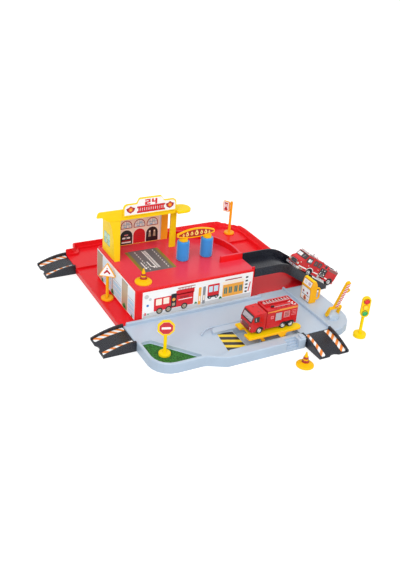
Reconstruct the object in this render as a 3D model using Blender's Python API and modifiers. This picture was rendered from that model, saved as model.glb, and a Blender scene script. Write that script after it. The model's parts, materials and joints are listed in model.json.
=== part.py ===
# Toy fire station play set: two moulded base trays, a red garage with a road on its roof, a yellow
# station house, a car wash with turning brushes, a parallelogram car lift, a barrier, a fuel pump,
# four ramps, road signs, cones and two small fire engines whose wheelsets turn.
# Lengths are in metres. Places are measured from the datum, the garage's front left corner at floor
# level: +X to the right along the garage front, +Y to the back, +Z up. The datum empty stands half
# a garage to the left and in front of the world origin, so the origin is under the garage's middle.

import math

import bmesh
import bpy
from mathutils import Matrix, Vector

# Clearances and wall
GAP = 0.0003
RUNNING_GAP = 0.0004
OPEN_PIVOT_GAP = 0.0009
SHEET = 0.0022

# Base trays
ROAD_TOP = 0.011
TRAY_FLOOR = 0.008
KERB_TOP = 0.015
CURB_TOP = 0.016
RIM_TOP = 0.020
BASE_LEFT = -0.020
BASE_RIGHT = 0.298
BASE_BACK = 0.251
APRON_FRONT = -0.1155
BASE_FRONT = -0.129
SEAM_Y = -0.001
SEAM_RIGHT_Y = 0.008
SEAM_STEP_X = 0.204
LOBE_FRONT = -0.122
LOBE_RADIUS = 0.042
LANE_FRONT = 0.182
LANE_BACK = 0.2335
RIM_SLOPE = 0.0075
RIM_WIDTH = 0.010
REAR_CORNER_RADIUS = 0.048
RIDGE_X = 0.2505
RIDGE_WIDTH = 0.004
FOOT_RADIUS = 0.006
RAMP_SLOT_DEPTH = 0.015
CORNER_BLOCK_WIDTH = 0.0075
STAIRS_WIDTH = 0.020

# Garage
GARAGE_WIDTH = 0.190
GARAGE_DEPTH = 0.148
DECK_TOP = 0.060
GARAGE_CORNER_RADIUS = 0.090
GARAGE_WALL = 0.0024
DOOR_TOP = 0.050
LIP_HEIGHT = 0.0012
LIP_WIDTH = 0.002
DECK_CURB_HEIGHT = 0.010
DECK_CURB_WIDTH = 0.0032
ENTRY_DEPTH = 0.0365
SHORT_CURB_LENGTH = 0.038

# Small ramps
RAMP_LENGTH = 0.047
RAMP_WIDTH = 0.049
RAMP_WALL = 0.003
RAMP_WALL_RISE = 0.0045
RAMP_TOE = 0.0014
FRONT_LEFT_RAMP_Y = SEAM_Y - GAP - RAMP_WIDTH / 2.0
REAR_RAMP_Y = 0.2075
FRONT_RIGHT_RAMP_X = 0.2255

# Deck ramp
DECK_RAMP_END = 0.329
DECK_RAMP_TOP = 0.057
DECK_RAMP_WIDTH = 0.040
DECK_RAMP_ANGLE = math.radians(33.0)
DECK_RAMP_BEND = 0.045
DECK_RAMP_WALL = 0.002
DECK_RAMP_SKIRT = 0.010
NEAR_WALL_RISE = 0.004
FAR_WALL_RISE = 0.011

# Station house
STATION_LEFT = 0.0055
STATION_RIGHT = 0.112
STATION_FRONT = 0.092
STATION_BACK = 0.1405
STATION_WALL = 0.0025
EAVES_HEIGHT = 0.0645
COLUMN_WIDTH = 0.0080
COLUMN_DEPTH = 0.004
POST_WIDTH = 0.010
POST_DEPTH = 0.004
POST_Y = 0.109
ROOF_THICKNESS = 0.004
ROOF_FLAT_BACK = 0.117
ROOF_BACK = 0.144
ROOF_FALL = 0.015
BALCONY_RIGHT = 0.1275
BALCONY_FRONT = 0.0865
BALCONY_BACK = 0.113
FASCIA_LEFT = -0.0225
FASCIA_RIGHT = 0.100
FASCIA_HEIGHT = 0.0165
FASCIA_THICKNESS = 0.0024
SIGN_LEFT = 0.0165
SIGN_RIGHT = 0.0995
SIGN_LIFT = 0.0066
SIGN_SHOULDER = 0.0182
SIGN_STEP = 0.0074
SIGN_THICKNESS = 0.0024

# Car wash
BRUSH_LEFT_X = 0.103
BRUSH_RIGHT_X = 0.1425
BRUSH_Y = 0.0665
BRUSH_RADIUS = 0.0094
BRUSH_HEIGHT = 0.0305
SPINDLE_RADIUS = 0.0020
CAP_RADIUS = 0.0062
CAP_HEIGHT = 0.0040
WASH_SIGN_HEIGHT = 0.0145
WASH_SIGN_OVERHANG = 0.011

# Car lift
LIFT_BAY_LEFT = 0.116
LIFT_BAY_RIGHT = 0.2035
LIFT_BAY_FRONT = -0.1125
LIFT_BAY_BACK = -0.068
LIFT_BAY_FLOOR = 0.0045
HAZARD_LEFT = 0.084
ISLAND_BACK = -0.0545
PLATFORM_TOP = 0.023
PLATFORM_THICKNESS = 0.003
PLATFORM_LEFT = 0.117
PLATFORM_RIGHT = 0.2037
PLANK_WIDTH = 0.0142
ARM_LENGTH = 0.0131
ARM_TILT = math.radians(36.0)
ARM_PIVOT_X = 0.147
ARM_SPACING = 0.034
ARM_PIVOT_Z = 0.0069
ARM_ROD_RADIUS = 0.0014
EAR_RADIUS = 0.0029
EAR_THICKNESS = 0.003

# Barrier
BARRIER_X = 0.272
BARRIER_Y = -0.089
BARRIER_PIVOT_Z = 0.0165
BARRIER_DOME_RADIUS = 0.0115
BARRIER_CHEEK = 0.0080
BARRIER_LENGTH = 0.069
BARRIER_WIDTH = 0.0070
BARRIER_THICKNESS = 0.0045
BARRIER_REST = math.radians(70.0)
BARRIER_PIN_RADIUS = 0.0015
BARRIER_TAB_RADIUS = 0.0038
FORK_THICKNESS = 0.0022

# Fuel pump
PUMP_X = 0.262
PUMP_FRONT_Y = -0.046
PUMP_WIDTH = 0.023
PUMP_DEPTH = 0.0115
PUMP_HEIGHT = 0.035
HOSE_RADIUS = 0.0015
HOSE_REACH = 0.0065

# Road signs and cones
POST_RADIUS = 0.0023
STOP_PLACE = (0.004, -0.0855)
STOP_ACROSS = 0.022
TRIANGLE_PLACE = (-0.010, 0.081)
TRIANGLE_SIDE = 0.026
FLAG_PLACE = (0.272, 0.214)
FLAG_TOP = 0.058
FLAG_HEIGHT = 0.019
FLAG_WIDTH = 0.0125
TRAFFIC_PLACE = (0.2908, -0.133)
CONE_DECK_PLACE = (0.020, 0.0225)
CONE_FRONT_PLACE = (0.1745, -0.164)
CONE_BASE_RADIUS = 0.0122
CONE_HEIGHT = 0.0215

# Fire engine on the lift
ENGINE_FRONT = 0.1215
ENGINE_LENGTH = 0.074
ENGINE_WIDTH = 0.027
ENGINE_Y = -0.0915
ENGINE_BODY_TOP = 0.034
ENGINE_WHEEL_RADIUS = 0.005
ENGINE_AXLES = (0.0145, 0.0525, 0.065)
ENGINE_CAB_LENGTH = 0.0235
WHEEL_WIDTH = 0.0042
AXLE_RADIUS = 0.0009

# Fire pumper on the deck ramp
PUMPER_REAR_X = 0.3375
PUMPER_Y = 0.0195
PUMPER_WIDTH = 0.026
PUMPER_WHEEL_RADIUS = 0.006
PUMPER_WHEELBASE = 0.050
PUMPER_FRONT_OVERHANG = 0.028
PUMPER_REAR_OVERHANG = 0.0085
PUMPER_CAB_TOP = 0.0247
PUMPER_BODY_TOP = 0.0240
PUMPER_CAB_LENGTH = 0.048
PUMPER_PANEL_LENGTH = 0.015

COLLECTION_NAME = "toy_fire_station"
PARTS = None
DATUM = None


# Scene and object helpers


def clear_scene():
    for obj in list(bpy.data.objects):
        bpy.data.objects.remove(obj, do_unlink=True)


def make_collection(name):
    collection = bpy.data.collections.new(name)
    bpy.context.scene.collection.children.link(collection)
    return collection


def make_empty(name, location=(0.0, 0.0, 0.0), parent=None, rotation=(0.0, 0.0, 0.0)):
    empty = bpy.data.objects.new(name, None)
    empty.empty_display_size = 0.02
    empty.location = location
    empty.rotation_euler = rotation
    empty.parent = parent
    PARTS.objects.link(empty)
    return empty


def make_object(name, mesh):
    obj = bpy.data.objects.new(name, mesh)
    PARTS.objects.link(obj)
    return obj


def from_bmesh(name, bm):
    mesh = bpy.data.meshes.new(name)
    bmesh.ops.recalc_face_normals(bm, faces=bm.faces)
    bm.to_mesh(mesh)
    bm.free()
    return make_object(name, mesh)


def bake(obj):
    """Replace the object by a plain mesh of what its modifiers and curve settings give."""
    bpy.context.view_layer.update()
    graph = bpy.context.evaluated_depsgraph_get()
    mesh = bpy.data.meshes.new_from_object(obj.evaluated_get(graph))
    bm = bmesh.new()
    bm.from_mesh(mesh)
    bmesh.ops.remove_doubles(bm, verts=bm.verts, dist=0.000001)
    bm.to_mesh(mesh)
    bm.free()
    name = obj.name
    matrix = obj.matrix_world.copy()
    bpy.data.objects.remove(obj, do_unlink=True)
    baked = make_object(name, mesh)
    baked.matrix_world = matrix
    return baked


def transform(obj, matrix):
    obj.data.transform(matrix)
    return obj


def boolean(target, tools, operation):
    """Join or cut the target with each tool in turn; the tools are used up."""
    for tool in tools:
        modifier = target.modifiers.new(operation.lower(), "BOOLEAN")
        modifier.operation = operation
        modifier.solver = "EXACT"
        modifier.object = tool
        name = target.name
        target = bake(target)
        target.name = name
        bpy.data.objects.remove(tool, do_unlink=True)
    return target


def fuse(target, *tools):
    return boolean(target, tools, "UNION")


def carve(target, *tools):
    return boolean(target, tools, "DIFFERENCE")


def plastic(name, color, roughness=0.3, metallic=0.0):
    material = bpy.data.materials.get(name)
    if material is None:
        material = bpy.data.materials.new(name)
        material.use_nodes = True
        shader = material.node_tree.nodes["Principled BSDF"]
        shader.inputs["Base Color"].default_value = (*color, 1.0)
        shader.inputs["Roughness"].default_value = roughness
        shader.inputs["Metallic"].default_value = metallic
    return material


def finish(obj, name, material, parent=None, smooth_angle=35.0):
    """Name, colour and smooth a part, and hang it on its parent without moving its mesh."""
    obj.name = name
    obj.data.name = name
    obj.data.materials.clear()
    obj.data.materials.append(material)
    obj.data.shade_smooth()
    obj.data.set_sharp_from_angle(angle=math.radians(smooth_angle))
    obj.parent = parent or DATUM
    return obj


# Outline helpers. A corner is (x, y, radius); outlines run anticlockwise.


def unit(vector):
    length = math.hypot(vector[0], vector[1])
    return vector[0] / length, vector[1] / length


def rounded(corners, steps=5):
    """Points of a closed outline whose corners are arcs."""
    points = []
    count = len(corners)
    for index, (x, y, radius) in enumerate(corners):
        before = corners[index - 1]
        after = corners[(index + 1) % count]
        back = unit((before[0] - x, before[1] - y))
        ahead = unit((after[0] - x, after[1] - y))
        if radius <= 0.0:
            points.append((x, y))
            continue
        between = math.acos(max(-1.0, min(1.0, back[0] * ahead[0] + back[1] * ahead[1])))
        reach = radius / math.tan(between / 2.0)
        bisector = unit((back[0] + ahead[0], back[1] + ahead[1]))
        centre_distance = radius / math.sin(between / 2.0)
        centre = (x + bisector[0] * centre_distance, y + bisector[1] * centre_distance)
        first = (x + back[0] * reach - centre[0], y + back[1] * reach - centre[1])
        last = (x + ahead[0] * reach - centre[0], y + ahead[1] * reach - centre[1])
        start = math.atan2(first[1], first[0])
        sweep = math.atan2(last[1], last[0]) - start
        sweep = (sweep + math.pi) % (2.0 * math.pi) - math.pi
        for step in range(steps + 1):
            angle = start + sweep * step / steps
            points.append((centre[0] + radius * math.cos(angle), centre[1] + radius * math.sin(angle)))
    return points


def inset(corners, distance):
    """The same corners moved inwards by a distance, outwards where it is negative."""
    moved = []
    count = len(corners)
    for index, (x, y, radius) in enumerate(corners):
        before = corners[index - 1]
        after = corners[(index + 1) % count]
        into = unit((x - before[0], y - before[1]))
        out = unit((after[0] - x, after[1] - y))
        first = (-into[1], into[0])
        second = (-out[1], out[0])
        scale = distance / (1.0 + first[0] * second[0] + first[1] * second[1])
        turn = into[0] * out[1] - into[1] * out[0]
        new_radius = radius
        if radius > 0.0:
            new_radius = max(radius - math.copysign(distance, turn), 0.0002)
        moved.append((x + (first[0] + second[0]) * scale, y + (first[1] + second[1]) * scale, new_radius))
    return moved


def box_corners(left, right, front, back, radius=0.0):
    return [(left, front, radius), (right, front, radius), (right, back, radius), (left, back, radius)]


def slab(corners, low, high, steps=5):
    """A flat outline extruded from low to high."""
    curve = bpy.data.curves.new("slab", "CURVE")
    curve.dimensions = "2D"
    curve.fill_mode = "BOTH"
    curve.extrude = (high - low) / 2.0
    points = rounded(corners, steps)
    spline = curve.splines.new("POLY")
    spline.points.add(len(points) - 1)
    for point, (x, y) in zip(spline.points, points):
        point.co = (x, y, 0.0, 1.0)
    spline.use_cyclic_u = True
    obj = bpy.data.objects.new("slab", curve)
    PARTS.objects.link(obj)
    obj.location = (0.0, 0.0, (high + low) / 2.0)
    solid = bake(obj)
    solid.data.transform(solid.matrix_world)
    solid.matrix_world = Matrix.Identity(4)
    return solid


def drafted(corners, rings, steps=5):
    """A loft through insets of one outline; rings are (height, inset) from the bottom up."""
    bm = bmesh.new()
    loops = []
    for height, distance in rings:
        points = rounded(inset(corners, distance), steps)
        loops.append([bm.verts.new((x, y, height)) for x, y in points])
    for lower, upper in zip(loops, loops[1:]):
        for index in range(len(lower)):
            following = (index + 1) % len(lower)
            bm.faces.new((lower[index], lower[following], upper[following], upper[index]))
    bm.faces.new(reversed(loops[0]))
    bm.faces.new(loops[-1])
    return from_bmesh("drafted", bm)


def block(left, right, front, back, low, high):
    bm = bmesh.new()
    centre = Vector(((left + right) / 2.0, (front + back) / 2.0, (low + high) / 2.0))
    size = Matrix.Diagonal((right - left, back - front, high - low, 1.0))
    bmesh.ops.create_cube(bm, size=1.0, matrix=Matrix.Translation(centre) @ size)
    return from_bmesh("block", bm)


def upright(corners_xz, front, back, steps=5):
    """An outline in the XZ plane extruded along Y from front to back."""
    solid = slab(corners_xz, -back, -front, steps)
    return transform(solid, Matrix.Rotation(math.pi / 2.0, 4, "X"))


def crosswise(corners_yz, left, right, steps=5):
    """An outline in the YZ plane extruded along X from left to right."""
    solid = slab(corners_yz, left, right, steps)
    cycle = Matrix(((0.0, 0.0, 1.0, 0.0), (1.0, 0.0, 0.0, 0.0), (0.0, 1.0, 0.0, 0.0), (0.0, 0.0, 0.0, 1.0)))
    return transform(solid, cycle)


def rod(start, end, radius, sides=16):
    """A cylinder between two points."""
    start = Vector(start)
    end = Vector(end)
    direction = end - start
    turn = direction.to_track_quat("Z", "Y").to_matrix().to_4x4()
    bm = bmesh.new()
    bmesh.ops.create_cone(
        bm, cap_ends=True, segments=sides, radius1=radius, radius2=radius, depth=direction.length,
        matrix=Matrix.Translation((start + end) / 2.0) @ turn)
    return from_bmesh("rod", bm)


def turned(profile, steps=20):
    """A turned solid from (radius, height) points that run down the outer side."""
    bm = bmesh.new()
    verts = [bm.verts.new((radius, 0.0, height)) for radius, height in profile]
    for first, second in zip(verts, verts[1:]):
        bm.edges.new((first, second))
    mesh = bpy.data.meshes.new("turned")
    bm.to_mesh(mesh)
    bm.free()
    obj = make_object("turned", mesh)
    screw = obj.modifiers.new("screw", "SCREW")
    screw.steps = steps
    screw.render_steps = steps
    screw.use_merge_vertices = True
    screw.merge_threshold = 0.00001
    return bake(obj)


def bored(profile, bore, steps=20):
    """A turned solid round a through bore; the profile leaves out the bore's wall."""
    top = profile[0][1]
    bottom = profile[-1][1]
    closed = [(bore, top)] + profile + [(bore, bottom), (bore, top)]
    return turned(closed, steps)


def tube(points, radius, resolution=2):
    """A round bar along a line of points, with flat ends."""
    curve = bpy.data.curves.new("tube", "CURVE")
    curve.dimensions = "3D"
    curve.bevel_depth = radius
    curve.bevel_resolution = resolution
    curve.use_fill_caps = True
    spline = curve.splines.new("POLY")
    spline.points.add(len(points) - 1)
    for point, place in zip(spline.points, points):
        point.co = (*place, 1.0)
    obj = bpy.data.objects.new("tube", curve)
    PARTS.objects.link(obj)
    return bake(obj)


# Base trays


def front_outline():
    slot_left = FRONT_RIGHT_RAMP_X - RAMP_WIDTH / 2.0 - GAP
    slot_right = FRONT_RIGHT_RAMP_X + RAMP_WIDTH / 2.0 + GAP
    slot_back = BASE_FRONT + RAMP_SLOT_DEPTH
    return [
        (BASE_LEFT, SEAM_Y, 0.0015), (BASE_LEFT, APRON_FRONT, 0.030), (0.050, APRON_FRONT, 0.020),
        (0.076, BASE_FRONT, 0.016), (slot_left, BASE_FRONT, 0.003), (slot_left, slot_back, 0.001),
        (slot_right, slot_back, 0.001), (slot_right, LOBE_FRONT, 0.001),
        (BASE_RIGHT, LOBE_FRONT, LOBE_RADIUS), (BASE_RIGHT, SEAM_RIGHT_Y, 0.0015),
        (SEAM_STEP_X, SEAM_RIGHT_Y, 0.001), (SEAM_STEP_X, SEAM_Y, 0.001)]


def rear_outline():
    left = BASE_LEFT - 0.002
    right = BASE_RIGHT + 0.002
    return [
        (left, SEAM_Y + GAP, 0.0015), (SEAM_STEP_X - GAP, SEAM_Y + GAP, 0.001),
        (SEAM_STEP_X - GAP, SEAM_RIGHT_Y + GAP, 0.001), (right, SEAM_RIGHT_Y + GAP, 0.0015),
        (right, BASE_BACK, REAR_CORNER_RADIUS), (-0.004, BASE_BACK, 0.003), (-0.008, LANE_BACK, 0.003),
        (left, LANE_BACK, 0.002)]


def stairs_cutters(left, right, front, top):
    """Four treads cut down through a kerb and the wall in front of it."""
    tread = 0.0027
    rise = 0.0031
    cutters = []
    for index in range(4):
        back = front + 0.0108 - tread * index
        cutters.append(block(left, right, front - 0.002, back, top - rise * (index + 1), top + 0.003))
    return cutters


def make_base_front(material):
    outline = front_outline()
    base = drafted(outline, [(0.0, 0.0), (ROAD_TOP - 0.001, 0.0003), (ROAD_TOP, 0.0012)])
    slot_left = FRONT_RIGHT_RAMP_X - RAMP_WIDTH / 2.0 - GAP
    slot_back = BASE_FRONT + RAMP_SLOT_DEPTH
    kerb_plan = [
        (BASE_LEFT, FRONT_LEFT_RAMP_Y - RAMP_WIDTH / 2.0, 0.0015), (BASE_LEFT, APRON_FRONT, 0.030),
        (0.050, APRON_FRONT, 0.020), (0.076, BASE_FRONT, 0.016), (slot_left, BASE_FRONT, 0.003),
        (slot_left, slot_back, 0.001), (0.086, LIFT_BAY_FRONT, 0.003), (0.066, -0.1215, 0.012),
        (0.001, FRONT_LEFT_RAMP_Y - RAMP_WIDTH / 2.0, 0.009)]
    kerb = drafted(kerb_plan, [(ROAD_TOP - 0.002, 0.0), (KERB_TOP - 0.0012, 0.0002), (KERB_TOP, 0.0013)])
    island_plan = [
        (HAZARD_LEFT + 0.002, LIFT_BAY_FRONT - 0.003, 0.001), (slot_left - 0.001, LIFT_BAY_FRONT - 0.003, 0.001),
        (slot_left - 0.001, ISLAND_BACK, 0.006), (HAZARD_LEFT + 0.002, ISLAND_BACK, 0.012)]
    island = drafted(island_plan, [(ROAD_TOP - 0.0015, 0.0), (KERB_TOP - 0.0013, 0.0003), (KERB_TOP - 0.0005, 0.001)])
    bead = tube(
        [(0.0700, -0.0640, KERB_TOP - 0.0028), (0.0745, -0.0600, KERB_TOP - 0.0014),
         (0.0800, -0.0570, KERB_TOP - 0.0006), (0.0860, -0.0551, KERB_TOP - 0.0003),
         (0.0930, ISLAND_BACK, KERB_TOP - 0.0002), (slot_left - 0.008, ISLAND_BACK, KERB_TOP - 0.0002)], 0.0011)
    curb = drafted(
        box_corners(BASE_LEFT + 0.004, SEAM_STEP_X, SEAM_Y - 0.0045, SEAM_Y, 0.0014),
        [(ROAD_TOP - 0.002, 0.0), (CURB_TOP - 0.001, 0.0002), (CURB_TOP, 0.001)])
    ridge = drafted(
        box_corners(RIDGE_X - RIDGE_WIDTH / 2.0, RIDGE_X + RIDGE_WIDTH / 2.0, slot_back + 0.0005, SEAM_RIGHT_Y, 0.001),
        [(ROAD_TOP - 0.002, 0.0), (KERB_TOP - 0.001, 0.0004), (KERB_TOP, 0.0013)])
    block_left = slot_left - 0.0012 - CORNER_BLOCK_WIDTH
    corner_block = drafted(
        box_corners(block_left, slot_left - 0.0012, BASE_FRONT + 0.0015, BASE_FRONT + 0.011, 0.0015),
        [(ROAD_TOP - 0.001, 0.0), (KERB_TOP + 0.0012, 0.0), (KERB_TOP + 0.0018, 0.0006)])
    base = fuse(base, kerb, island, bead, curb, ridge, corner_block, make_barrier_dome())

    pocket_left = BASE_LEFT + 0.0045
    pocket_front = APRON_FRONT + 0.0045
    pocket_back = FRONT_LEFT_RAMP_Y - RAMP_WIDTH / 2.0 - 0.0037
    grass = drafted(
        [(pocket_left, pocket_back, 0.004), (pocket_left, pocket_front, 0.025),
         (pocket_left + 0.0625, pocket_front, 0.0025), (pocket_left + 0.0140, pocket_back, 0.005)],
        [(ROAD_TOP, 0.0), (KERB_TOP + 0.001, -0.0008)])
    hazard_lane = drafted(
        box_corners(HAZARD_LEFT - 0.006, LIFT_BAY_LEFT + 0.002, LIFT_BAY_FRONT, LIFT_BAY_BACK, 0.0015),
        [(ROAD_TOP, 0.0), (KERB_TOP + 0.001, -0.0003)])
    bay_plan = box_corners(LIFT_BAY_LEFT, LIFT_BAY_RIGHT, LIFT_BAY_FRONT, LIFT_BAY_BACK, 0.003)
    bay = drafted(bay_plan, [(LIFT_BAY_FLOOR, 0.0003), (KERB_TOP + 0.001, 0.0)])
    base = carve(base, grass, hazard_lane, bay)
    stairs_right = block_left - 0.0045
    stairs_left = stairs_right - STAIRS_WIDTH
    base = carve(base, *stairs_cutters(stairs_left, stairs_right, BASE_FRONT, KERB_TOP))

    cavity = drafted(inset(outline, SHEET), [(-0.001, -0.0002), (ROAD_TOP - SHEET, 0.0004)])
    keep_bay = slab(inset(bay_plan, -SHEET), LIFT_BAY_FLOOR - SHEET, ROAD_TOP)
    keep_stairs = block(
        stairs_left - SHEET, stairs_right + SHEET, BASE_FRONT - 0.001, BASE_FRONT + 0.0108 + SHEET, -0.002, ROAD_TOP)
    feet = [
        rod((x, y, -0.002), (x, y, ROAD_TOP), FOOT_RADIUS, 20)
        for x, y in ((0.060, -0.030), (0.226, -0.040), (BARRIER_X, BARRIER_Y))]
    cavity = carve(cavity, keep_bay, keep_stairs, *feet)
    base = carve(base, cavity)
    base = fuse(base, *make_lift_ears())
    pin_hole = rod(
        (BARRIER_X - 0.02, BARRIER_Y, BARRIER_PIVOT_Z), (BARRIER_X + 0.02, BARRIER_Y, BARRIER_PIVOT_Z),
        BARRIER_PIN_RADIUS + GAP)
    base = carve(base, pin_hole)
    return finish(base, "base_front", material)


def make_barrier_dome():
    """A round stub with two flat cheeks that the barrier's fork straddles."""
    bm = bmesh.new()
    centre = Vector((BARRIER_X, BARRIER_Y, ROAD_TOP - 0.0015))
    bmesh.ops.create_uvsphere(
        bm, u_segments=20, v_segments=12, radius=BARRIER_DOME_RADIUS, matrix=Matrix.Translation(centre))
    dome = from_bmesh("dome", bm)
    reach = BARRIER_DOME_RADIUS + 0.002
    below = block(
        BARRIER_X - reach, BARRIER_X + reach, BARRIER_Y - reach, BARRIER_Y + reach, -0.02, ROAD_TOP - 0.001)
    cheeks = [
        block(BARRIER_X + side * (BARRIER_CHEEK + reach) - reach, BARRIER_X + side * (BARRIER_CHEEK + reach) + reach,
              BARRIER_Y - reach, BARRIER_Y + reach, ROAD_TOP + 0.0006, 0.04)
        for side in (-1.0, 1.0)]
    return carve(dome, below, *cheeks)


def lift_ear_places():
    """Distances in from the bay's two long sides at which the ears and lugs of the lift stand."""
    middle = (LIFT_BAY_FRONT + LIFT_BAY_BACK) / 2.0
    return (middle - 0.008, middle + 0.008)


def make_lift_ears():
    """Ears on the bay floor that carry the lower rods of both lift arms."""
    ears = []
    for pivot_x in (ARM_PIVOT_X, ARM_PIVOT_X + ARM_SPACING):
        for middle in lift_ear_places():
            plan = [
                (pivot_x - EAR_RADIUS, LIFT_BAY_FLOOR - 0.001, 0.0), (pivot_x + EAR_RADIUS, LIFT_BAY_FLOOR - 0.001, 0.0),
                (pivot_x + EAR_RADIUS, ARM_PIVOT_Z + EAR_RADIUS, EAR_RADIUS * 0.9),
                (pivot_x - EAR_RADIUS, ARM_PIVOT_Z + EAR_RADIUS, EAR_RADIUS * 0.9)]
            ear = upright(plan, middle - EAR_THICKNESS / 2.0, middle + EAR_THICKNESS / 2.0)
            hole = rod((pivot_x, middle - 0.01, ARM_PIVOT_Z), (pivot_x, middle + 0.01, ARM_PIVOT_Z),
                       ARM_ROD_RADIUS + RUNNING_GAP)
            ears.append(carve(ear, hole))
    return ears


def make_base_rear(material):
    outline = rear_outline()
    left = outline[0][0]
    right = outline[3][0]
    tray = drafted(outline, [(0.0, 0.0), (RIM_TOP - 0.0012, 0.0), (RIM_TOP, 0.001)])
    hall = [
        (left - 0.02, -0.02, 0.0), (right - RIM_WIDTH, -0.02, 0.0),
        (right - RIM_WIDTH, BASE_BACK - RIM_WIDTH, REAR_CORNER_RADIUS - RIM_WIDTH),
        (0.004, BASE_BACK - RIM_WIDTH, 0.004), (0.000, LANE_BACK - RIM_WIDTH, 0.006),
        (left - 0.02, LANE_BACK - RIM_WIDTH, 0.0)]
    ledge = (TRAY_FLOOR + RIM_TOP) / 2.0
    hollow = drafted(
        hall, [(TRAY_FLOOR, 0.0), (ledge, -0.2 * RIM_SLOPE), (ledge + 0.0002, -0.6 * RIM_SLOPE),
               (RIM_TOP + 0.001, -RIM_SLOPE)])
    tray = carve(tray, hollow)
    crossing = block(right - 0.03, right + 0.01, -0.02, DECK_RAMP_WIDTH + 0.003, TRAY_FLOOR, RIM_TOP + 0.01)
    tray = carve(tray, crossing)
    lane_plan = [
        (left + 0.0003, LANE_FRONT, 0.001), (right - RIM_WIDTH + 0.002, LANE_FRONT, 0.001),
        (right - RIM_WIDTH + 0.002, BASE_BACK - RIM_WIDTH + 0.002, REAR_CORNER_RADIUS - RIM_WIDTH),
        (0.002, BASE_BACK - RIM_WIDTH + 0.002, 0.004), (-0.002, LANE_BACK - RIM_WIDTH + 0.002, 0.006),
        (left + 0.0003, LANE_BACK - RIM_WIDTH + 0.002, 0.001)]
    lane = drafted(lane_plan, [(TRAY_FLOOR - 0.002, -0.0002), (ROAD_TOP, 0.0)])
    edge_lip = drafted(
        box_corners(left + 0.0002, left + 0.0022, 0.004, LANE_FRONT, 0.0008),
        [(TRAY_FLOOR - 0.002, 0.0), (TRAY_FLOOR + 0.0012, 0.0004)])
    tray = fuse(tray, lane, edge_lip)
    cavity = drafted(inset(outline, SHEET), [(-0.001, -0.0002), (TRAY_FLOOR - SHEET, 0.0004)])
    feet = [
        rod((x, y, -0.002), (x, y, TRAY_FLOOR), FOOT_RADIUS, 20)
        for x, y in ((GARAGE_WIDTH / 2.0, GARAGE_DEPTH / 2.0), (0.250, 0.100), (0.060, 0.205), (0.250, 0.205))]
    cavity = carve(cavity, *feet)
    tray = carve(tray, cavity)
    return finish(tray, "base_rear", material)


# Ramps


def ramp_road(samples=7):
    """Road line of a small ramp, as length and height from the base down to the toe."""
    drop = ROAD_TOP - GAP - RAMP_TOE
    shares = [index / samples for index in range(samples + 1)]
    return [(share * RAMP_LENGTH, ROAD_TOP - GAP - drop * share ** 1.7) for share in shares]


def run_past(points, beyond):
    """The same line carried on level past both of its ends."""
    return [(points[0][0] - beyond, points[0][1])] + points + [(points[-1][0] + beyond, points[-1][1])]


def above_line(points, top):
    return [(x, z, 0.0) for x, z in points] + [(points[-1][0], top, 0.0), (points[0][0], top, 0.0)]


def below_line(points, bottom):
    return [(points[0][0], bottom, 0.0), (points[-1][0], bottom, 0.0)] + [(x, z, 0.0) for x, z in reversed(points)]


def make_small_ramp(name, place, heading, material):
    """A hollow ramp with a curved road and two side walls; its length runs along the heading."""
    half = RAMP_WIDTH / 2.0
    between = half - RAMP_WALL
    road = ramp_road()
    walls = [(x, z + RAMP_WALL_RISE * (1.0 - 0.55 * (x / RAMP_LENGTH) ** 2)) for x, z in road]
    ramp = upright(below_line(walls, 0.0), -half, half)
    lane = upright(above_line(run_past(road, 0.005), 0.05), -between, between)
    under = [(x, z - SHEET) for x, z in road]
    underside = upright(below_line([(SHEET, under[0][1])] + under[1:-1], -0.01), -between + 0.0002, between - 0.0002)
    notch = turned([(0.0, 0.01), (0.0105, 0.01), (0.0105, -0.01), (0.0, -0.01)], 24)
    notch.data.transform(Matrix.Translation((RAMP_LENGTH + 0.0072, 0.0, 0.0)))
    ramp = carve(ramp, lane, underside, notch)
    transform(ramp, Matrix.Translation((place[0], place[1], 0.0)) @ Matrix.Rotation(heading, 4, "Z"))
    return finish(ramp, name, material)


def deck_ramp_line(offset, samples=6):
    """The deck ramp's road line, flat, bent and straight, moved off the road by a height."""
    slope = math.tan(DECK_RAMP_ANGLE)
    crest = DECK_RAMP_END - (DECK_RAMP_TOP - RAMP_TOE) / slope
    centre = (crest - DECK_RAMP_BEND * math.tan(DECK_RAMP_ANGLE / 2.0), DECK_RAMP_TOP - DECK_RAMP_BEND)
    radius = DECK_RAMP_BEND + offset
    points = [(GARAGE_WIDTH + GAP, DECK_RAMP_TOP + offset)]
    for index in range(samples + 1):
        angle = DECK_RAMP_ANGLE * index / samples
        points.append((centre[0] + radius * math.sin(angle), centre[1] + radius * math.cos(angle)))
    vertical = offset / math.cos(DECK_RAMP_ANGLE)
    points.append((DECK_RAMP_END, RAMP_TOE + vertical))
    return points


def deck_ramp_skirt():
    """Lower edge of the ramp's sides: it follows the road, clears the base and then stands on the floor."""
    slope = math.tan(DECK_RAMP_ANGLE)
    line = deck_ramp_line(-DECK_RAMP_SKIRT)
    clear = ROAD_TOP + GAP
    beyond = BASE_RIGHT + 0.002 + GAP
    reach = line[-1][0] - (clear - line[-1][1]) / slope
    points = line[:-1] + [(reach, clear), (beyond, clear), (beyond, 0.0), (DECK_RAMP_END, 0.0)]
    return [(x, z, 0.0) for x, z in points]


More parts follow.
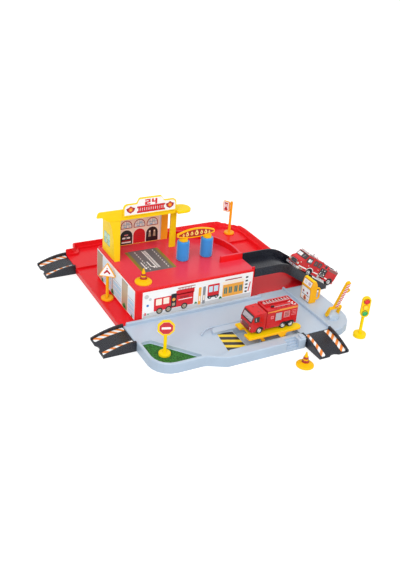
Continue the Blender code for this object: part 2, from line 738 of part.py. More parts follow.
def make_deck_ramp(material):
    width = DECK_RAMP_WIDTH
    wall = DECK_RAMP_WALL
    far_line = deck_ramp_line(FAR_WALL_RISE)
    ramp = upright(deck_ramp_skirt() + [(x, z, 0.0) for x, z in reversed(far_line)], 0.0, width)
    road = run_past(deck_ramp_line(0.0), 0.005)
    lane = upright(above_line(road, 0.1), wall, width - wall)
    near_edge = upright(above_line(run_past(deck_ramp_line(NEAR_WALL_RISE), 0.005), 0.1), -0.001, wall + 0.001)
    under = [(x, z) for x, z in deck_ramp_line(-SHEET) if z > 0.001]
    end = DECK_RAMP_END - 0.002
    under = [(under[0][0] - 0.005, under[0][1])] + under + [(end, 0.0004)]
    underside = upright(below_line(under, -0.01), wall + 0.0002, width - wall - 0.0002)
    return finish(carve(ramp, near_edge, lane, underside), "deck_ramp", material)


# Garage


def garage_outline():
    return [
        (0.0, 0.0, 0.003), (GARAGE_WIDTH, 0.0, 0.002), (GARAGE_WIDTH, GARAGE_DEPTH, GARAGE_CORNER_RADIUS),
        (0.0, GARAGE_DEPTH, 0.004)]


def arc_band(centre, radius, width, first, last, samples=14):
    """A curved strip between two radii as corners without rounding."""
    angles = [first + (last - first) * index / samples for index in range(samples + 1)]
    outer = [(centre[0] + radius * math.cos(a), centre[1] + radius * math.sin(a), 0.0) for a in angles]
    inner = [(centre[0] + (radius - width) * math.cos(a), centre[1] + (radius - width) * math.sin(a), 0.0)
             for a in reversed(angles)]
    return outer + inner


def make_garage(material):
    outline = garage_outline()
    foot = TRAY_FLOOR + GAP
    garage = drafted(
        outline, [(foot, 0.0), (DECK_TOP - 0.001, 0.0), (DECK_TOP + LIP_HEIGHT, 0.0008)], 10)
    deck = drafted(inset(outline, LIP_WIDTH), [(DECK_TOP, 0.0), (DECK_TOP + 0.004, -0.0004)], 10)
    bay = slab(inset(outline, GARAGE_WALL), -0.001, DECK_TOP - GARAGE_WALL, 10)
    entry = block(GARAGE_WIDTH - 0.010, GARAGE_WIDTH + 0.005, 0.0028, ENTRY_DEPTH + 0.0005, DECK_TOP, DECK_TOP + 0.004)
    side_door = crosswise(
        [(0.012, 0.0, 0.0), (0.056, 0.0, 0.0), (0.056, DOOR_TOP, 0.008), (0.012, DOOR_TOP, 0.008)],
        GARAGE_WIDTH - 0.010, GARAGE_WIDTH + 0.005)
    back_doors = [
        upright([(x, 0.0, 0.0), (x + 0.038, 0.0, 0.0), (x + 0.038, DOOR_TOP, 0.008), (x, DOOR_TOP, 0.008)],
                GARAGE_DEPTH - 0.010, GARAGE_DEPTH + 0.005)
        for x in (0.010, 0.056)]
    garage = carve(garage, deck, bay, entry, side_door, *back_doors)
    centre = (GARAGE_WIDTH - GARAGE_CORNER_RADIUS, GARAGE_DEPTH - GARAGE_CORNER_RADIUS)
    curb_outer = GARAGE_CORNER_RADIUS - 0.0012
    low = DECK_TOP - 0.0012
    curved = slab(
        arc_band(centre, curb_outer, DECK_CURB_WIDTH, math.radians(-12.0), math.radians(84.0)),
        low, DECK_TOP + DECK_CURB_HEIGHT)
    curb_right = GARAGE_WIDTH - 0.0012
    short = upright(
        [(curb_right - SHORT_CURB_LENGTH, low, 0.0), (curb_right, low, 0.0),
         (curb_right, DECK_TOP + DECK_CURB_HEIGHT, 0.001),
         (curb_right - SHORT_CURB_LENGTH + 0.0012, DECK_TOP + DECK_CURB_HEIGHT, 0.0012)],
        ENTRY_DEPTH, ENTRY_DEPTH + DECK_CURB_WIDTH)
    end_post = block(GARAGE_WIDTH - 0.0042, GARAGE_WIDTH - 0.0006, 0.0006, 0.0026, low, DECK_TOP + 0.004)
    garage = fuse(garage, curved, short, end_post)
    sockets = [
        rod((x, BRUSH_Y, DECK_TOP - 0.01), (x, BRUSH_Y, DECK_TOP + 0.01), SPINDLE_RADIUS + GAP)
        for x in (BRUSH_LEFT_X, BRUSH_RIGHT_X)]
    garage = carve(garage, *sockets)
    return finish(garage, "garage", material)


# Station house


def roof_underside(y):
    """Height of the roof's underside, which is level in front and falls to the back wall."""
    low = DECK_TOP + EAVES_HEIGHT + GAP
    return low - max(y - ROOF_FLAT_BACK, 0.0) * ROOF_FALL / (ROOF_BACK - ROOF_FLAT_BACK)


def make_station_walls(yellow, orange):
    foot = DECK_TOP + GAP
    eaves = DECK_TOP + EAVES_HEIGHT
    left = STATION_LEFT
    back_top = roof_underside(STATION_BACK) - GAP
    side = crosswise(
        [(STATION_FRONT + 0.001, foot, 0.0), (STATION_BACK, foot, 0.0), (STATION_BACK, back_top, 0.0),
         (ROOF_FLAT_BACK, eaves, 0.0), (STATION_FRONT + 0.001, eaves, 0.0)], left, left + STATION_WALL)
    column = upright(
        [(left, foot, 0.0), (left + COLUMN_WIDTH, foot, 0.0), (left + COLUMN_WIDTH, eaves, 0.0),
         (left - 0.0090, eaves, 0.0), (left - 0.0057, eaves - 0.0085, 0.030), (left - 0.0022, eaves - 0.0285, 0.060)],
        STATION_FRONT, STATION_FRONT + COLUMN_DEPTH, 4)
    finish(fuse(side, column), "station_side_wall", yellow)

    back = block(left + STATION_WALL + GAP, STATION_RIGHT, STATION_BACK - STATION_WALL, STATION_BACK, foot, back_top)
    finish(back, "station_back_wall", orange)

    post = drafted(
        box_corners(STATION_RIGHT - POST_WIDTH, STATION_RIGHT, POST_Y, POST_Y + POST_DEPTH, 0.0008),
        [(foot, 0.0), (eaves, 0.0003)])
    finish(post, "station_post", yellow)


def make_station_roof(yellow):
    """The roof with its round balcony, and the board in front whose left end sweeps out of the column."""
    low = DECK_TOP + EAVES_HEIGHT + GAP
    top = low + ROOF_THICKNESS
    plate_low = 0.0004
    plate = crosswise(
        [(STATION_FRONT + 0.001, low + plate_low, 0.0), (ROOF_FLAT_BACK, low + plate_low, 0.0),
         (ROOF_BACK, roof_underside(ROOF_BACK) + plate_low, 0.0),
         (ROOF_BACK, roof_underside(ROOF_BACK) + ROOF_THICKNESS, 0.0008), (ROOF_FLAT_BACK + 0.0008, top, 0.002),
         (STATION_FRONT + 0.001, top, 0.0)], STATION_LEFT - 0.001, STATION_RIGHT)
    balcony_radius = (BALCONY_BACK - BALCONY_FRONT) / 2.0 - 0.0008
    balcony = drafted(
        [(STATION_RIGHT - 0.010, BALCONY_FRONT, 0.0), (BALCONY_RIGHT, BALCONY_FRONT, balcony_radius),
         (BALCONY_RIGHT, BALCONY_BACK, balcony_radius), (STATION_RIGHT - 0.010, BALCONY_BACK, 0.0)],
        [(low, 0.0), (top - 0.001, 0.0), (top - 0.0002, 0.0008)], 8)
    board = upright(
        [(STATION_LEFT - 0.0092, low, 0.0), (FASCIA_RIGHT, low, 0.0), (FASCIA_RIGHT, low + FASCIA_HEIGHT, 0.001),
         (FASCIA_LEFT + 0.0025, low + FASCIA_HEIGHT, 0.004), (FASCIA_LEFT, low + FASCIA_HEIGHT / 2.0, 0.0006),
         (STATION_LEFT - 0.0205, low + FASCIA_HEIGHT / 2.0 - 0.0004, 0.006)],
        STATION_FRONT, STATION_FRONT + FASCIA_THICKNESS)
    finish(fuse(plate, balcony, board), "station_roof", yellow)


def make_station_sign(yellow):
    bottom = DECK_TOP + EAVES_HEIGHT + GAP + SIGN_LIFT
    shoulder = bottom + SIGN_SHOULDER
    step = shoulder + SIGN_STEP
    board = upright(
        [(SIGN_LEFT, bottom, 0.0005), (SIGN_RIGHT, bottom, 0.0005), (SIGN_RIGHT, shoulder, 0.006),
         (SIGN_RIGHT - 0.0198, shoulder, 0.002), (SIGN_RIGHT - 0.0245, step, 0.003), (SIGN_LEFT + 0.0240, step, 0.003),
         (SIGN_LEFT + 0.0205, shoulder, 0.002), (SIGN_LEFT, shoulder, 0.006)],
        STATION_FRONT - GAP - SIGN_THICKNESS, STATION_FRONT - GAP)
    finish(board, "station_sign", yellow)


def make_station(yellow, orange):
    make_station_walls(yellow, orange)
    make_station_roof(yellow)
    make_station_sign(yellow)


# Car wash


def make_car_wash(yellow, blue):
    brush_low = DECK_TOP + GAP
    brush_high = brush_low + BRUSH_HEIGHT
    bore = SPINDLE_RADIUS + RUNNING_GAP
    profile = [
        (BRUSH_RADIUS - 0.0014, BRUSH_HEIGHT), (BRUSH_RADIUS - 0.0003, BRUSH_HEIGHT - 0.0008),
        (BRUSH_RADIUS, BRUSH_HEIGHT - 0.002), (BRUSH_RADIUS, 0.002), (BRUSH_RADIUS - 0.0004, 0.0007),
        (BRUSH_RADIUS - 0.0014, 0.0)]
    for name, x in (("brush_left", BRUSH_LEFT_X), ("brush_right", BRUSH_RIGHT_X)):
        axis = make_empty(name + "_axis", (x, BRUSH_Y, brush_low), DATUM)
        brush = bored(profile, bore, 24)
        finish(brush, name, blue, axis)

    cap_low = brush_high + GAP
    middle = (BRUSH_LEFT_X + BRUSH_RIGHT_X) / 2.0
    half = (BRUSH_RIGHT_X - BRUSH_LEFT_X) / 2.0 + WASH_SIGN_OVERHANG
    sign_low = cap_low + CAP_HEIGHT - 0.0012
    lens = []
    samples = 10
    for index in range(samples + 1):
        share = -1.0 + 2.0 * index / samples
        lens.append((middle + half * share, sign_low + 0.004 * share * share, 0.0))
    for index in range(samples, -1, -1):
        share = -1.0 + 2.0 * index / samples
        height = sign_low + WASH_SIGN_HEIGHT - (WASH_SIGN_HEIGHT - 0.0085) * share * share
        lens.append((middle + half * share, height, 0.0))
    sign = upright(lens, BRUSH_Y - 0.0016, BRUSH_Y + 0.0016)
    pieces = []
    for x in (BRUSH_LEFT_X, BRUSH_RIGHT_X):
        pieces.append(rod((x, BRUSH_Y, cap_low), (x, BRUSH_Y, cap_low + CAP_HEIGHT), CAP_RADIUS, 20))
        for index in range(6):
            angle = math.pi / 3.0 * index
            knob_x = x + (CAP_RADIUS - 0.0006) * math.cos(angle)
            knob_y = BRUSH_Y + (CAP_RADIUS - 0.0006) * math.sin(angle)
            pieces.append(rod((knob_x, knob_y, cap_low), (knob_x, knob_y, cap_low + CAP_HEIGHT - 0.0008), 0.0013, 8))
        pieces.append(rod((x, BRUSH_Y, DECK_TOP - GARAGE_WALL), (x, BRUSH_Y, cap_low + 0.002), SPINDLE_RADIUS))
    return finish(fuse(sign, *pieces), "car_wash_sign", yellow)


# Car lift


def lift_top_pivot():
    """Offset of the arm's upper rod from its lower rod at rest."""
    return -ARM_LENGTH * math.sin(ARM_TILT), ARM_LENGTH * math.cos(ARM_TILT)


def make_lift_arm(name, pivot_x, material):
    """Two legs joined by a rod at each end; the lower rod is the pivot."""
    front = LIFT_BAY_FRONT + 0.005
    back = LIFT_BAY_BACK - 0.005
    middle = (front + back) / 2.0
    half = (back - front) / 2.0
    leg_width = 0.0030
    axis = make_empty(name + "_pivot", (pivot_x, middle, ARM_PIVOT_Z), DATUM, (0.0, -ARM_TILT, 0.0))
    lower = rod((0.0, -half, 0.0), (0.0, half, 0.0), ARM_ROD_RADIUS)
    upper = rod((0.0, -half, ARM_LENGTH), (0.0, half, ARM_LENGTH), ARM_ROD_RADIUS)
    legs = [
        upright([(-0.0021, -0.0021, 0.002), (0.0021, -0.0021, 0.002), (0.0021, ARM_LENGTH + 0.0021, 0.002),
                 (-0.0021, ARM_LENGTH + 0.0021, 0.002)],
                side * half - leg_width / 2.0 - side * leg_width / 2.0,
                side * half + leg_width / 2.0 - side * leg_width / 2.0, 4)
        for side in (-1.0, 1.0)]
    return finish(fuse(lower, upper, *legs), name, material, axis)


def make_lift_platform(material):
    """Two planks joined by cross members, with lugs round the upper rods of the arms."""
    offset_x, offset_z = lift_top_pivot()
    front = LIFT_BAY_FRONT + 0.0012
    back = LIFT_BAY_BACK - 0.0012
    low = PLATFORM_TOP - PLATFORM_THICKNESS
    pivots = [(ARM_PIVOT_X + offset_x, GAP + 0.0001), (ARM_PIVOT_X + ARM_SPACING + offset_x, OPEN_PIVOT_GAP)]
    pivot_z = ARM_PIVOT_Z + offset_z
    axis = make_empty("lift_platform_pivot", (pivots[0][0], (front + back) / 2.0, pivot_z), DATUM)
    near = drafted(
        [(PLATFORM_LEFT, front, 0.0008), (PLATFORM_RIGHT, front, 0.0065), (PLATFORM_RIGHT, front + PLANK_WIDTH, 0.0065),
         (PLATFORM_LEFT, front + PLANK_WIDTH, 0.0008)],
        [(low, 0.0), (PLATFORM_TOP - 0.0006, 0.0), (PLATFORM_TOP, 0.0006)])
    far = drafted(
        [(PLATFORM_LEFT + 0.002, back - PLANK_WIDTH, 0.0008), (PLATFORM_RIGHT, back - PLANK_WIDTH, 0.0065),
         (PLATFORM_RIGHT, back, 0.0065), (PLATFORM_LEFT + 0.002, back, 0.0008)],
        [(low, 0.0), (PLATFORM_TOP - 0.0006, 0.0), (PLATFORM_TOP, 0.0006)])
    pieces = [far]
    length = PLATFORM_RIGHT - PLATFORM_LEFT
    for middle, width in ((0.127, 0.07), (0.435, 0.11), (0.840, 0.09)):
        left = PLATFORM_LEFT + length * (middle - width / 2.0)
        pieces.append(
            block(left, left + length * width, front + PLANK_WIDTH - 0.002, back - PLANK_WIDTH + 0.002, low + 0.0002,
                  PLATFORM_TOP - 0.0008))
    for pivot_x, clearance in pivots:
        for middle in lift_ear_places():
            shifted = middle + math.copysign(EAR_THICKNESS + 0.0010, middle - sum(lift_ear_places()) / 2.0)
            lug = upright(
                [(pivot_x - EAR_RADIUS, pivot_z - EAR_RADIUS, EAR_RADIUS * 0.9),
                 (pivot_x + EAR_RADIUS, pivot_z - EAR_RADIUS, EAR_RADIUS * 0.9),
                 (pivot_x + EAR_RADIUS + 0.002, low + 0.0005, 0.0), (pivot_x - EAR_RADIUS - 0.002, low + 0.0005, 0.0)],
                shifted - EAR_THICKNESS / 2.0, shifted + EAR_THICKNESS / 2.0)
            hole = rod((pivot_x, shifted - 0.01, pivot_z), (pivot_x, shifted + 0.01, pivot_z),
                       ARM_ROD_RADIUS + clearance)
            pieces.append(carve(lug, hole))
    gusset = upright(
        [(0.1625, low + 0.0005, 0.0), (0.1690, low - 0.0065, 0.001), (0.1730, low - 0.0065, 0.001),
         (0.1785, low + 0.0005, 0.0)], front, front + 0.0016)
    platform = fuse(near, *pieces, gusset)
    transform(platform, Matrix.Translation(-Vector(axis.location)))
    return finish(platform, "lift_platform", material, axis)


# Barrier


def make_barrier(yellow):
    """The arm is drawn lying towards the front and turned up to its rest angle by its pivot."""
    pin_half = BARRIER_CHEEK + GAP + FORK_THICKNESS + 0.0006
    pin = rod((BARRIER_X - pin_half, BARRIER_Y, BARRIER_PIVOT_Z), (BARRIER_X + pin_half, BARRIER_Y, BARRIER_PIVOT_Z),
              BARRIER_PIN_RADIUS)
    finish(pin, "barrier_pin", yellow)
    axis = make_empty(
        "barrier_pivot", (BARRIER_X, BARRIER_Y, BARRIER_PIVOT_Z), DATUM, (-BARRIER_REST, 0.0, 0.0))
    inner = BARRIER_CHEEK + GAP + 0.0001
    outer = inner + FORK_THICKNESS
    bridge = 0.0118
    half = BARRIER_THICKNESS / 2.0
    prongs = []
    for side in (-1.0, 1.0):
        left = min(side * inner, side * outer)
        prong = crosswise(
            [(-bridge - 0.002, -0.0022, 0.001), (0.0028, -0.0028, 0.0027), (0.0028, 0.0028, 0.0027),
             (-bridge - 0.002, 0.0022, 0.001)], left, left + FORK_THICKNESS)
        hole = rod((left - 0.005, 0.0, 0.0), (left + FORK_THICKNESS + 0.005, 0.0, 0.0), BARRIER_PIN_RADIUS + RUNNING_GAP)
        prongs.append(carve(prong, hole))
    yoke = block(-outer, outer, -bridge - 0.0035, -bridge, -0.0018, 0.0018)
    arm = drafted(
        [(-BARRIER_WIDTH / 2.0, -BARRIER_LENGTH, 0.003), (BARRIER_WIDTH / 2.0, -BARRIER_LENGTH, 0.003),
         (BARRIER_WIDTH / 2.0, -bridge - 0.001, 0.0), (-BARRIER_WIDTH / 2.0, -bridge - 0.001, 0.0)],
        [(-half, 0.0004), (-half + 0.0004, 0.0), (half - 0.0004, 0.0), (half, 0.0004)])
    tab_x = BARRIER_WIDTH / 2.0 + BARRIER_TAB_RADIUS - 0.0008
    tab_y = -BARRIER_LENGTH * 0.71
    tab = rod((tab_x, tab_y, -0.0012), (tab_x, tab_y, 0.0012), BARRIER_TAB_RADIUS, 20)
    return finish(fuse(arm, yoke, tab, *prongs), "barrier_arm", yellow, axis)


# Fuel pump


def make_fuel_pump(yellow):
    low = ROAD_TOP + GAP
    top = low + PUMP_HEIGHT
    pump = upright(
        [(PUMP_X, low, 0.0004), (PUMP_X + PUMP_DEPTH, low, 0.0004), (PUMP_X + PUMP_DEPTH, top - 0.006, 0.002),
         (PUMP_X + PUMP_DEPTH - 0.003, top + 0.001, 0.002), (PUMP_X + 0.0035, top + 0.001, 0.002),
         (PUMP_X, top - 0.011, 0.002)],
        PUMP_FRONT_Y, PUMP_FRONT_Y + PUMP_WIDTH)
    notch = block(PUMP_X + PUMP_DEPTH - 0.0012, PUMP_X + PUMP_DEPTH + 0.002, PUMP_FRONT_Y + 0.004,
                  PUMP_FRONT_Y + PUMP_WIDTH - 0.004, low + 0.006, top - 0.009)
    pump = carve(pump, notch)
    back = PUMP_X + PUMP_DEPTH - 0.0015
    hose_y = PUMP_FRONT_Y + 0.0022
    upper = top - 0.012
    lower = low + 0.005
    bend = 0.0035
    reach = HOSE_REACH + 0.0015
    points = [(back, hose_y, upper)]
    for index in range(5):
        angle = math.pi / 2.0 * index / 4
        points.append((back + reach - bend + bend * math.sin(angle), hose_y, upper - bend + bend * math.cos(angle)))
    for index in range(5):
        angle = math.pi / 2.0 * index / 4
        points.append((back + reach - bend + bend * math.cos(angle), hose_y, lower + bend - bend * math.sin(angle)))
    points.append((back, hose_y, lower))
    return finish(fuse(pump, tube(points, HOSE_RADIUS, 1)), "fuel_pump", yellow)


# Road signs, lights and cones


def puck(radius, height, steps=20):
    return turned([(0.0, height), (radius - 0.0012, height), (radius - 0.0003, height - 0.0006),
                   (radius, height - 0.0015), (radius, 0.0), (0.0, 0.0)], steps)


def stand_sign(name, plate, place, floor, base_radius, base_height, post_height, turn, material):
    """A plate on a post, with the post plugged into its own round base."""
    socket_depth = base_height * 0.6
    base = puck(base_radius, base_height)
    hole = rod((0.0, 0.0, base_height - socket_depth), (0.0, 0.0, base_height + 0.01), POST_RADIUS + GAP, 16)
    base = carve(base, hole)
    post = rod((0.0, 0.0, base_height - socket_depth + GAP), (0.0, 0.0, post_height), POST_RADIUS, 16)
    sign = fuse(plate, post)
    move = Matrix.Translation((place[0], place[1], floor + GAP)) @ Matrix.Rotation(turn, 4, "Z")
    transform(base, move)
    transform(sign, move)
    finish(base, name + "_base", material)
    finish(sign, name, material)


def make_stop_sign(material):
    centre = 0.042
    corners = []
    for index in range(8):
        angle = math.pi / 8.0 + math.pi / 4.0 * index
        reach = STOP_ACROSS / 2.0 / math.cos(math.pi / 8.0)
        corners.append((reach * math.cos(angle), centre + reach * math.sin(angle), 0.0008))
    plate = upright(corners, -0.0028, 0.0, 2)
    stand_sign("stop_sign", plate, STOP_PLACE, ROAD_TOP, 0.0082, 0.004, centre, math.radians(-18.0), material)


def make_triangle_sign(material):
    bottom = 0.0375
    height = TRIANGLE_SIDE * math.sqrt(3.0) / 2.0
    corners = [(-TRIANGLE_SIDE / 2.0, bottom, 0.0012), (TRIANGLE_SIDE / 2.0, bottom, 0.0012),
               (0.0, bottom + height, 0.0012)]
    plate = upright(corners, -0.0026, 0.0, 3)
    stand_sign("triangle_sign", plate, TRIANGLE_PLACE, TRAY_FLOOR, 0.0092, 0.003, bottom + 0.006,
               math.radians(-36.0), material)


def make_flag_sign(material):
    """A rounded plate held beside its post by two tabs."""
    inner = -POST_RADIUS - 0.0012
    low = FLAG_TOP - FLAG_HEIGHT
    plate = upright(
        [(inner - FLAG_WIDTH, low, 0.002), (inner, low, 0.002), (inner, FLAG_TOP, 0.002),
         (inner - FLAG_WIDTH, FLAG_TOP, 0.002)], -0.0012, 0.0012, 3)
    tabs = [
        block(inner - 0.001, 0.0, -0.0009, 0.0009, z - 0.0012, z + 0.0012)
        for z in (low + FLAG_HEIGHT * 0.18, low + FLAG_HEIGHT * 0.82)]
    stand_sign("flag_sign", fuse(plate, *tabs), FLAG_PLACE, ROAD_TOP, 0.0090, 0.003, FLAG_TOP + 0.0015,
               math.radians(-61.0), material)


def make_traffic_light(material):
    low = 0.0335
    high = 0.066
    half = 0.0062
    plate = upright(
        [(-half, low, half * 0.98), (half, low, half * 0.98), (half, high, half * 0.98), (-half, high, half * 0.98)],
        -0.0042, 0.0, 6)
    lamps = []
    for index in range(3):
        height = low + (high - low) * (0.5 + (index - 1) * 0.29)
        lamps.append(rod((0.0, -0.0055, height), (0.0, -0.0035, height), 0.0036, 16))
    stand_sign("traffic_light", fuse(plate, *lamps), TRAFFIC_PLACE, 0.0 - GAP, 0.0092, 0.006, low + 0.004,
               math.radians(-25.0), material)


def make_cone(name, place, floor, material):
    base = CONE_BASE_RADIUS
    profile = [
        (0.0, CONE_HEIGHT), (0.0008, CONE_HEIGHT - 0.0004), (0.0022, CONE_HEIGHT - 0.0055),
        (0.0040, 0.0080), (0.0050, 0.0046), (base * 0.60, 0.0040), (base * 0.90, 0.0028), (base, 0.0016), (base, 0.0),
        (0.0, 0.0)]
    cone = turned(profile, 24)
    transform(cone, Matrix.Translation((place[0], place[1], floor)))
    finish(cone, name, material)


# Vehicles


def make_wheelset(name, place, track, radius, parent, tyre, steel):
    """Two wheels on one axle that turn together; the axle lies along Y."""
    axis = make_empty(name + "_axis", place, parent)
    half = track / 2.0
    axle = rod((0.0, -half + 0.0012, 0.0), (0.0, half - 0.0012, 0.0), AXLE_RADIUS, 10)
    finish(axle, name + "_axle", steel, axis)
    rim = radius * 0.66
    bore = AXLE_RADIUS + GAP
    hub_face = WHEEL_WIDTH - 0.0002
    profile = [
        (rim * 0.55, hub_face), (rim * 0.62, WHEEL_WIDTH - 0.0010), (rim, WHEEL_WIDTH - 0.0010),
        (radius - 0.0006, WHEEL_WIDTH), (radius, WHEEL_WIDTH - 0.0008), (radius, 0.0)]
    for side_name, side in (("near", -1.0), ("far", 1.0)):
        wheel = bored(profile, bore, 16)
        turn = Matrix.Rotation(-side * math.pi / 2.0, 4, "X")
        transform(wheel, Matrix.Translation((0.0, side * (half - WHEEL_WIDTH), 0.0)) @ turn)
        finish(wheel, name + "_wheel_" + side_name, tyre, axis)


def arch_cutters(x, z, radius, width, depth):
    """Wheel arches cut into both sides of a body."""
    half = width / 2.0
    return [
        rod((x, side * (half + 0.002), z), (x, side * (half - depth), z), radius, 16)
        for side in (-1.0, 1.0)]


def make_engine(red, dark, steel, tyre):
    """The cab-over fire engine on the lift; its own frame is at its front, on its wheels' ground."""
    ground = PLATFORM_TOP + GAP
    pivot = bpy.data.objects["lift_platform_pivot"]
    frame = make_empty(
        "engine_frame", Vector((ENGINE_FRONT, ENGINE_Y, ground)) - Vector(pivot.location), pivot)
    half = ENGINE_WIDTH / 2.0
    radius = ENGINE_WHEEL_RADIUS
    arch = radius + 0.0012
    depth = WHEEL_WIDTH + 0.0012
    floor = 0.0060
    chassis_half = half - depth - GAP
    room = half - depth + GAP
    chassis_top = floor + 0.0022

    chassis = block(0.002, ENGINE_LENGTH - 0.002, -chassis_half, chassis_half, 0.0030, chassis_top)
    holes = [rod((x, -half, radius), (x, half, radius), AXLE_RADIUS + RUNNING_GAP, 12) for x in ENGINE_AXLES]
    finish(carve(chassis, *holes), "engine_chassis", dark, frame)

    cab = upright(
        [(0.0006, 0.0045, 0.001), (ENGINE_CAB_LENGTH, 0.0045, 0.0), (ENGINE_CAB_LENGTH, 0.0320, 0.001),
         (0.0050, 0.0310, 0.002), (0.0, 0.0180, 0.0015)], -half, half)
    screen = upright(
        [(-0.002, 0.0190, 0.0), (0.0010, 0.0190, 0.0), (0.0046, 0.0282, 0.0), (-0.002, 0.0282, 0.0)],
        -half + 0.0018, half - 0.0018)
    windows = [
        block(0.0055, 0.0125, side * half - 0.0005, side * half + 0.0005, 0.0190, 0.0275) for side in (-1.0, 1.0)]
    below = block(-0.001, ENGINE_CAB_LENGTH + 0.001, -room, room, 0.0, chassis_top + GAP)
    cab = carve(cab, screen, *windows, below, *arch_cutters(ENGINE_AXLES[0], radius, arch, ENGINE_WIDTH, depth))
    finish(cab, "engine_cab", red, frame)

    rear = ENGINE_LENGTH
    front = ENGINE_CAB_LENGTH + 0.0010
    body = upright(
        [(front, 0.0055, 0.0008), (rear, 0.0055, 0.0008), (rear, ENGINE_BODY_TOP, 0.001),
         (front, ENGINE_BODY_TOP, 0.001)], -half, half)
    below = block(front - 0.001, rear + 0.001, -room, room, 0.0, chassis_top + GAP)
    middle = (ENGINE_AXLES[1] + ENGINE_AXLES[2]) / 2.0
    twin = [
        block(ENGINE_AXLES[1], ENGINE_AXLES[2], side * (half - depth / 2.0 + 0.001) - depth / 2.0 - 0.0008,
              side * (half - depth / 2.0 + 0.001) + depth / 2.0 + 0.0008, 0.0, radius + arch - 0.001)
        for side in (-1.0, 1.0)]
    arches = arch_cutters(ENGINE_AXLES[1], radius, arch, ENGINE_WIDTH, depth)
    arches += arch_cutters(ENGINE_AXLES[2], radius, arch, ENGINE_WIDTH, depth)
    shutters = [
        block(x, x + 0.0085, side * half - 0.0005, side * half + 0.0005, 0.0150, 0.0265)
        for side in (-1.0, 1.0) for x in (middle - 0.0235, middle - 0.0125, middle - 0.0015)]
    deck = block(front + 0.0015, rear - 0.0015, -half + 0.0015, half - 0.0015, ENGINE_BODY_TOP - 0.0012,
                 ENGINE_BODY_TOP + 0.002)
    body = carve(body, below, *twin, *arches, *shutters, deck)
    finish(body, "engine_body", red, frame)

    ladder_low = ENGINE_BODY_TOP - 0.0012 + GAP
    rails = [
        block(front + 0.003, rear - 0.003, y - 0.0006, y + 0.0006, ladder_low, ladder_low + 0.0030)
        for y in (0.0005, 0.0095)]
    rungs = [
        block(x - 0.0005, x + 0.0005, 0.0, 0.010, ladder_low + 0.0008, ladder_low + 0.0020)
        for x in (front + 0.006 + 0.0048 * index for index in range(9))]
    finish(fuse(rails[0], rails[1], *rungs), "engine_ladder", red, frame)

    for index, x in enumerate(ENGINE_AXLES):
        make_wheelset("engine_axle_%d" % (index + 1), (x, 0.0, radius), ENGINE_WIDTH - 0.0006, radius, frame, tyre, steel)


def pumper_pitch():
    """Pitch at which the rear wheels stand on the floor and the front wheels on the deck ramp."""
    radius = PUMPER_WHEEL_RADIUS + GAP
    fall = math.cos(DECK_RAMP_ANGLE)
    short = RAMP_TOE + (DECK_RAMP_END - PUMPER_REAR_X) * math.tan(DECK_RAMP_ANGLE) + radius / fall - radius
    return DECK_RAMP_ANGLE + math.asin(fall * (short + GAP) / PUMPER_WHEELBASE)


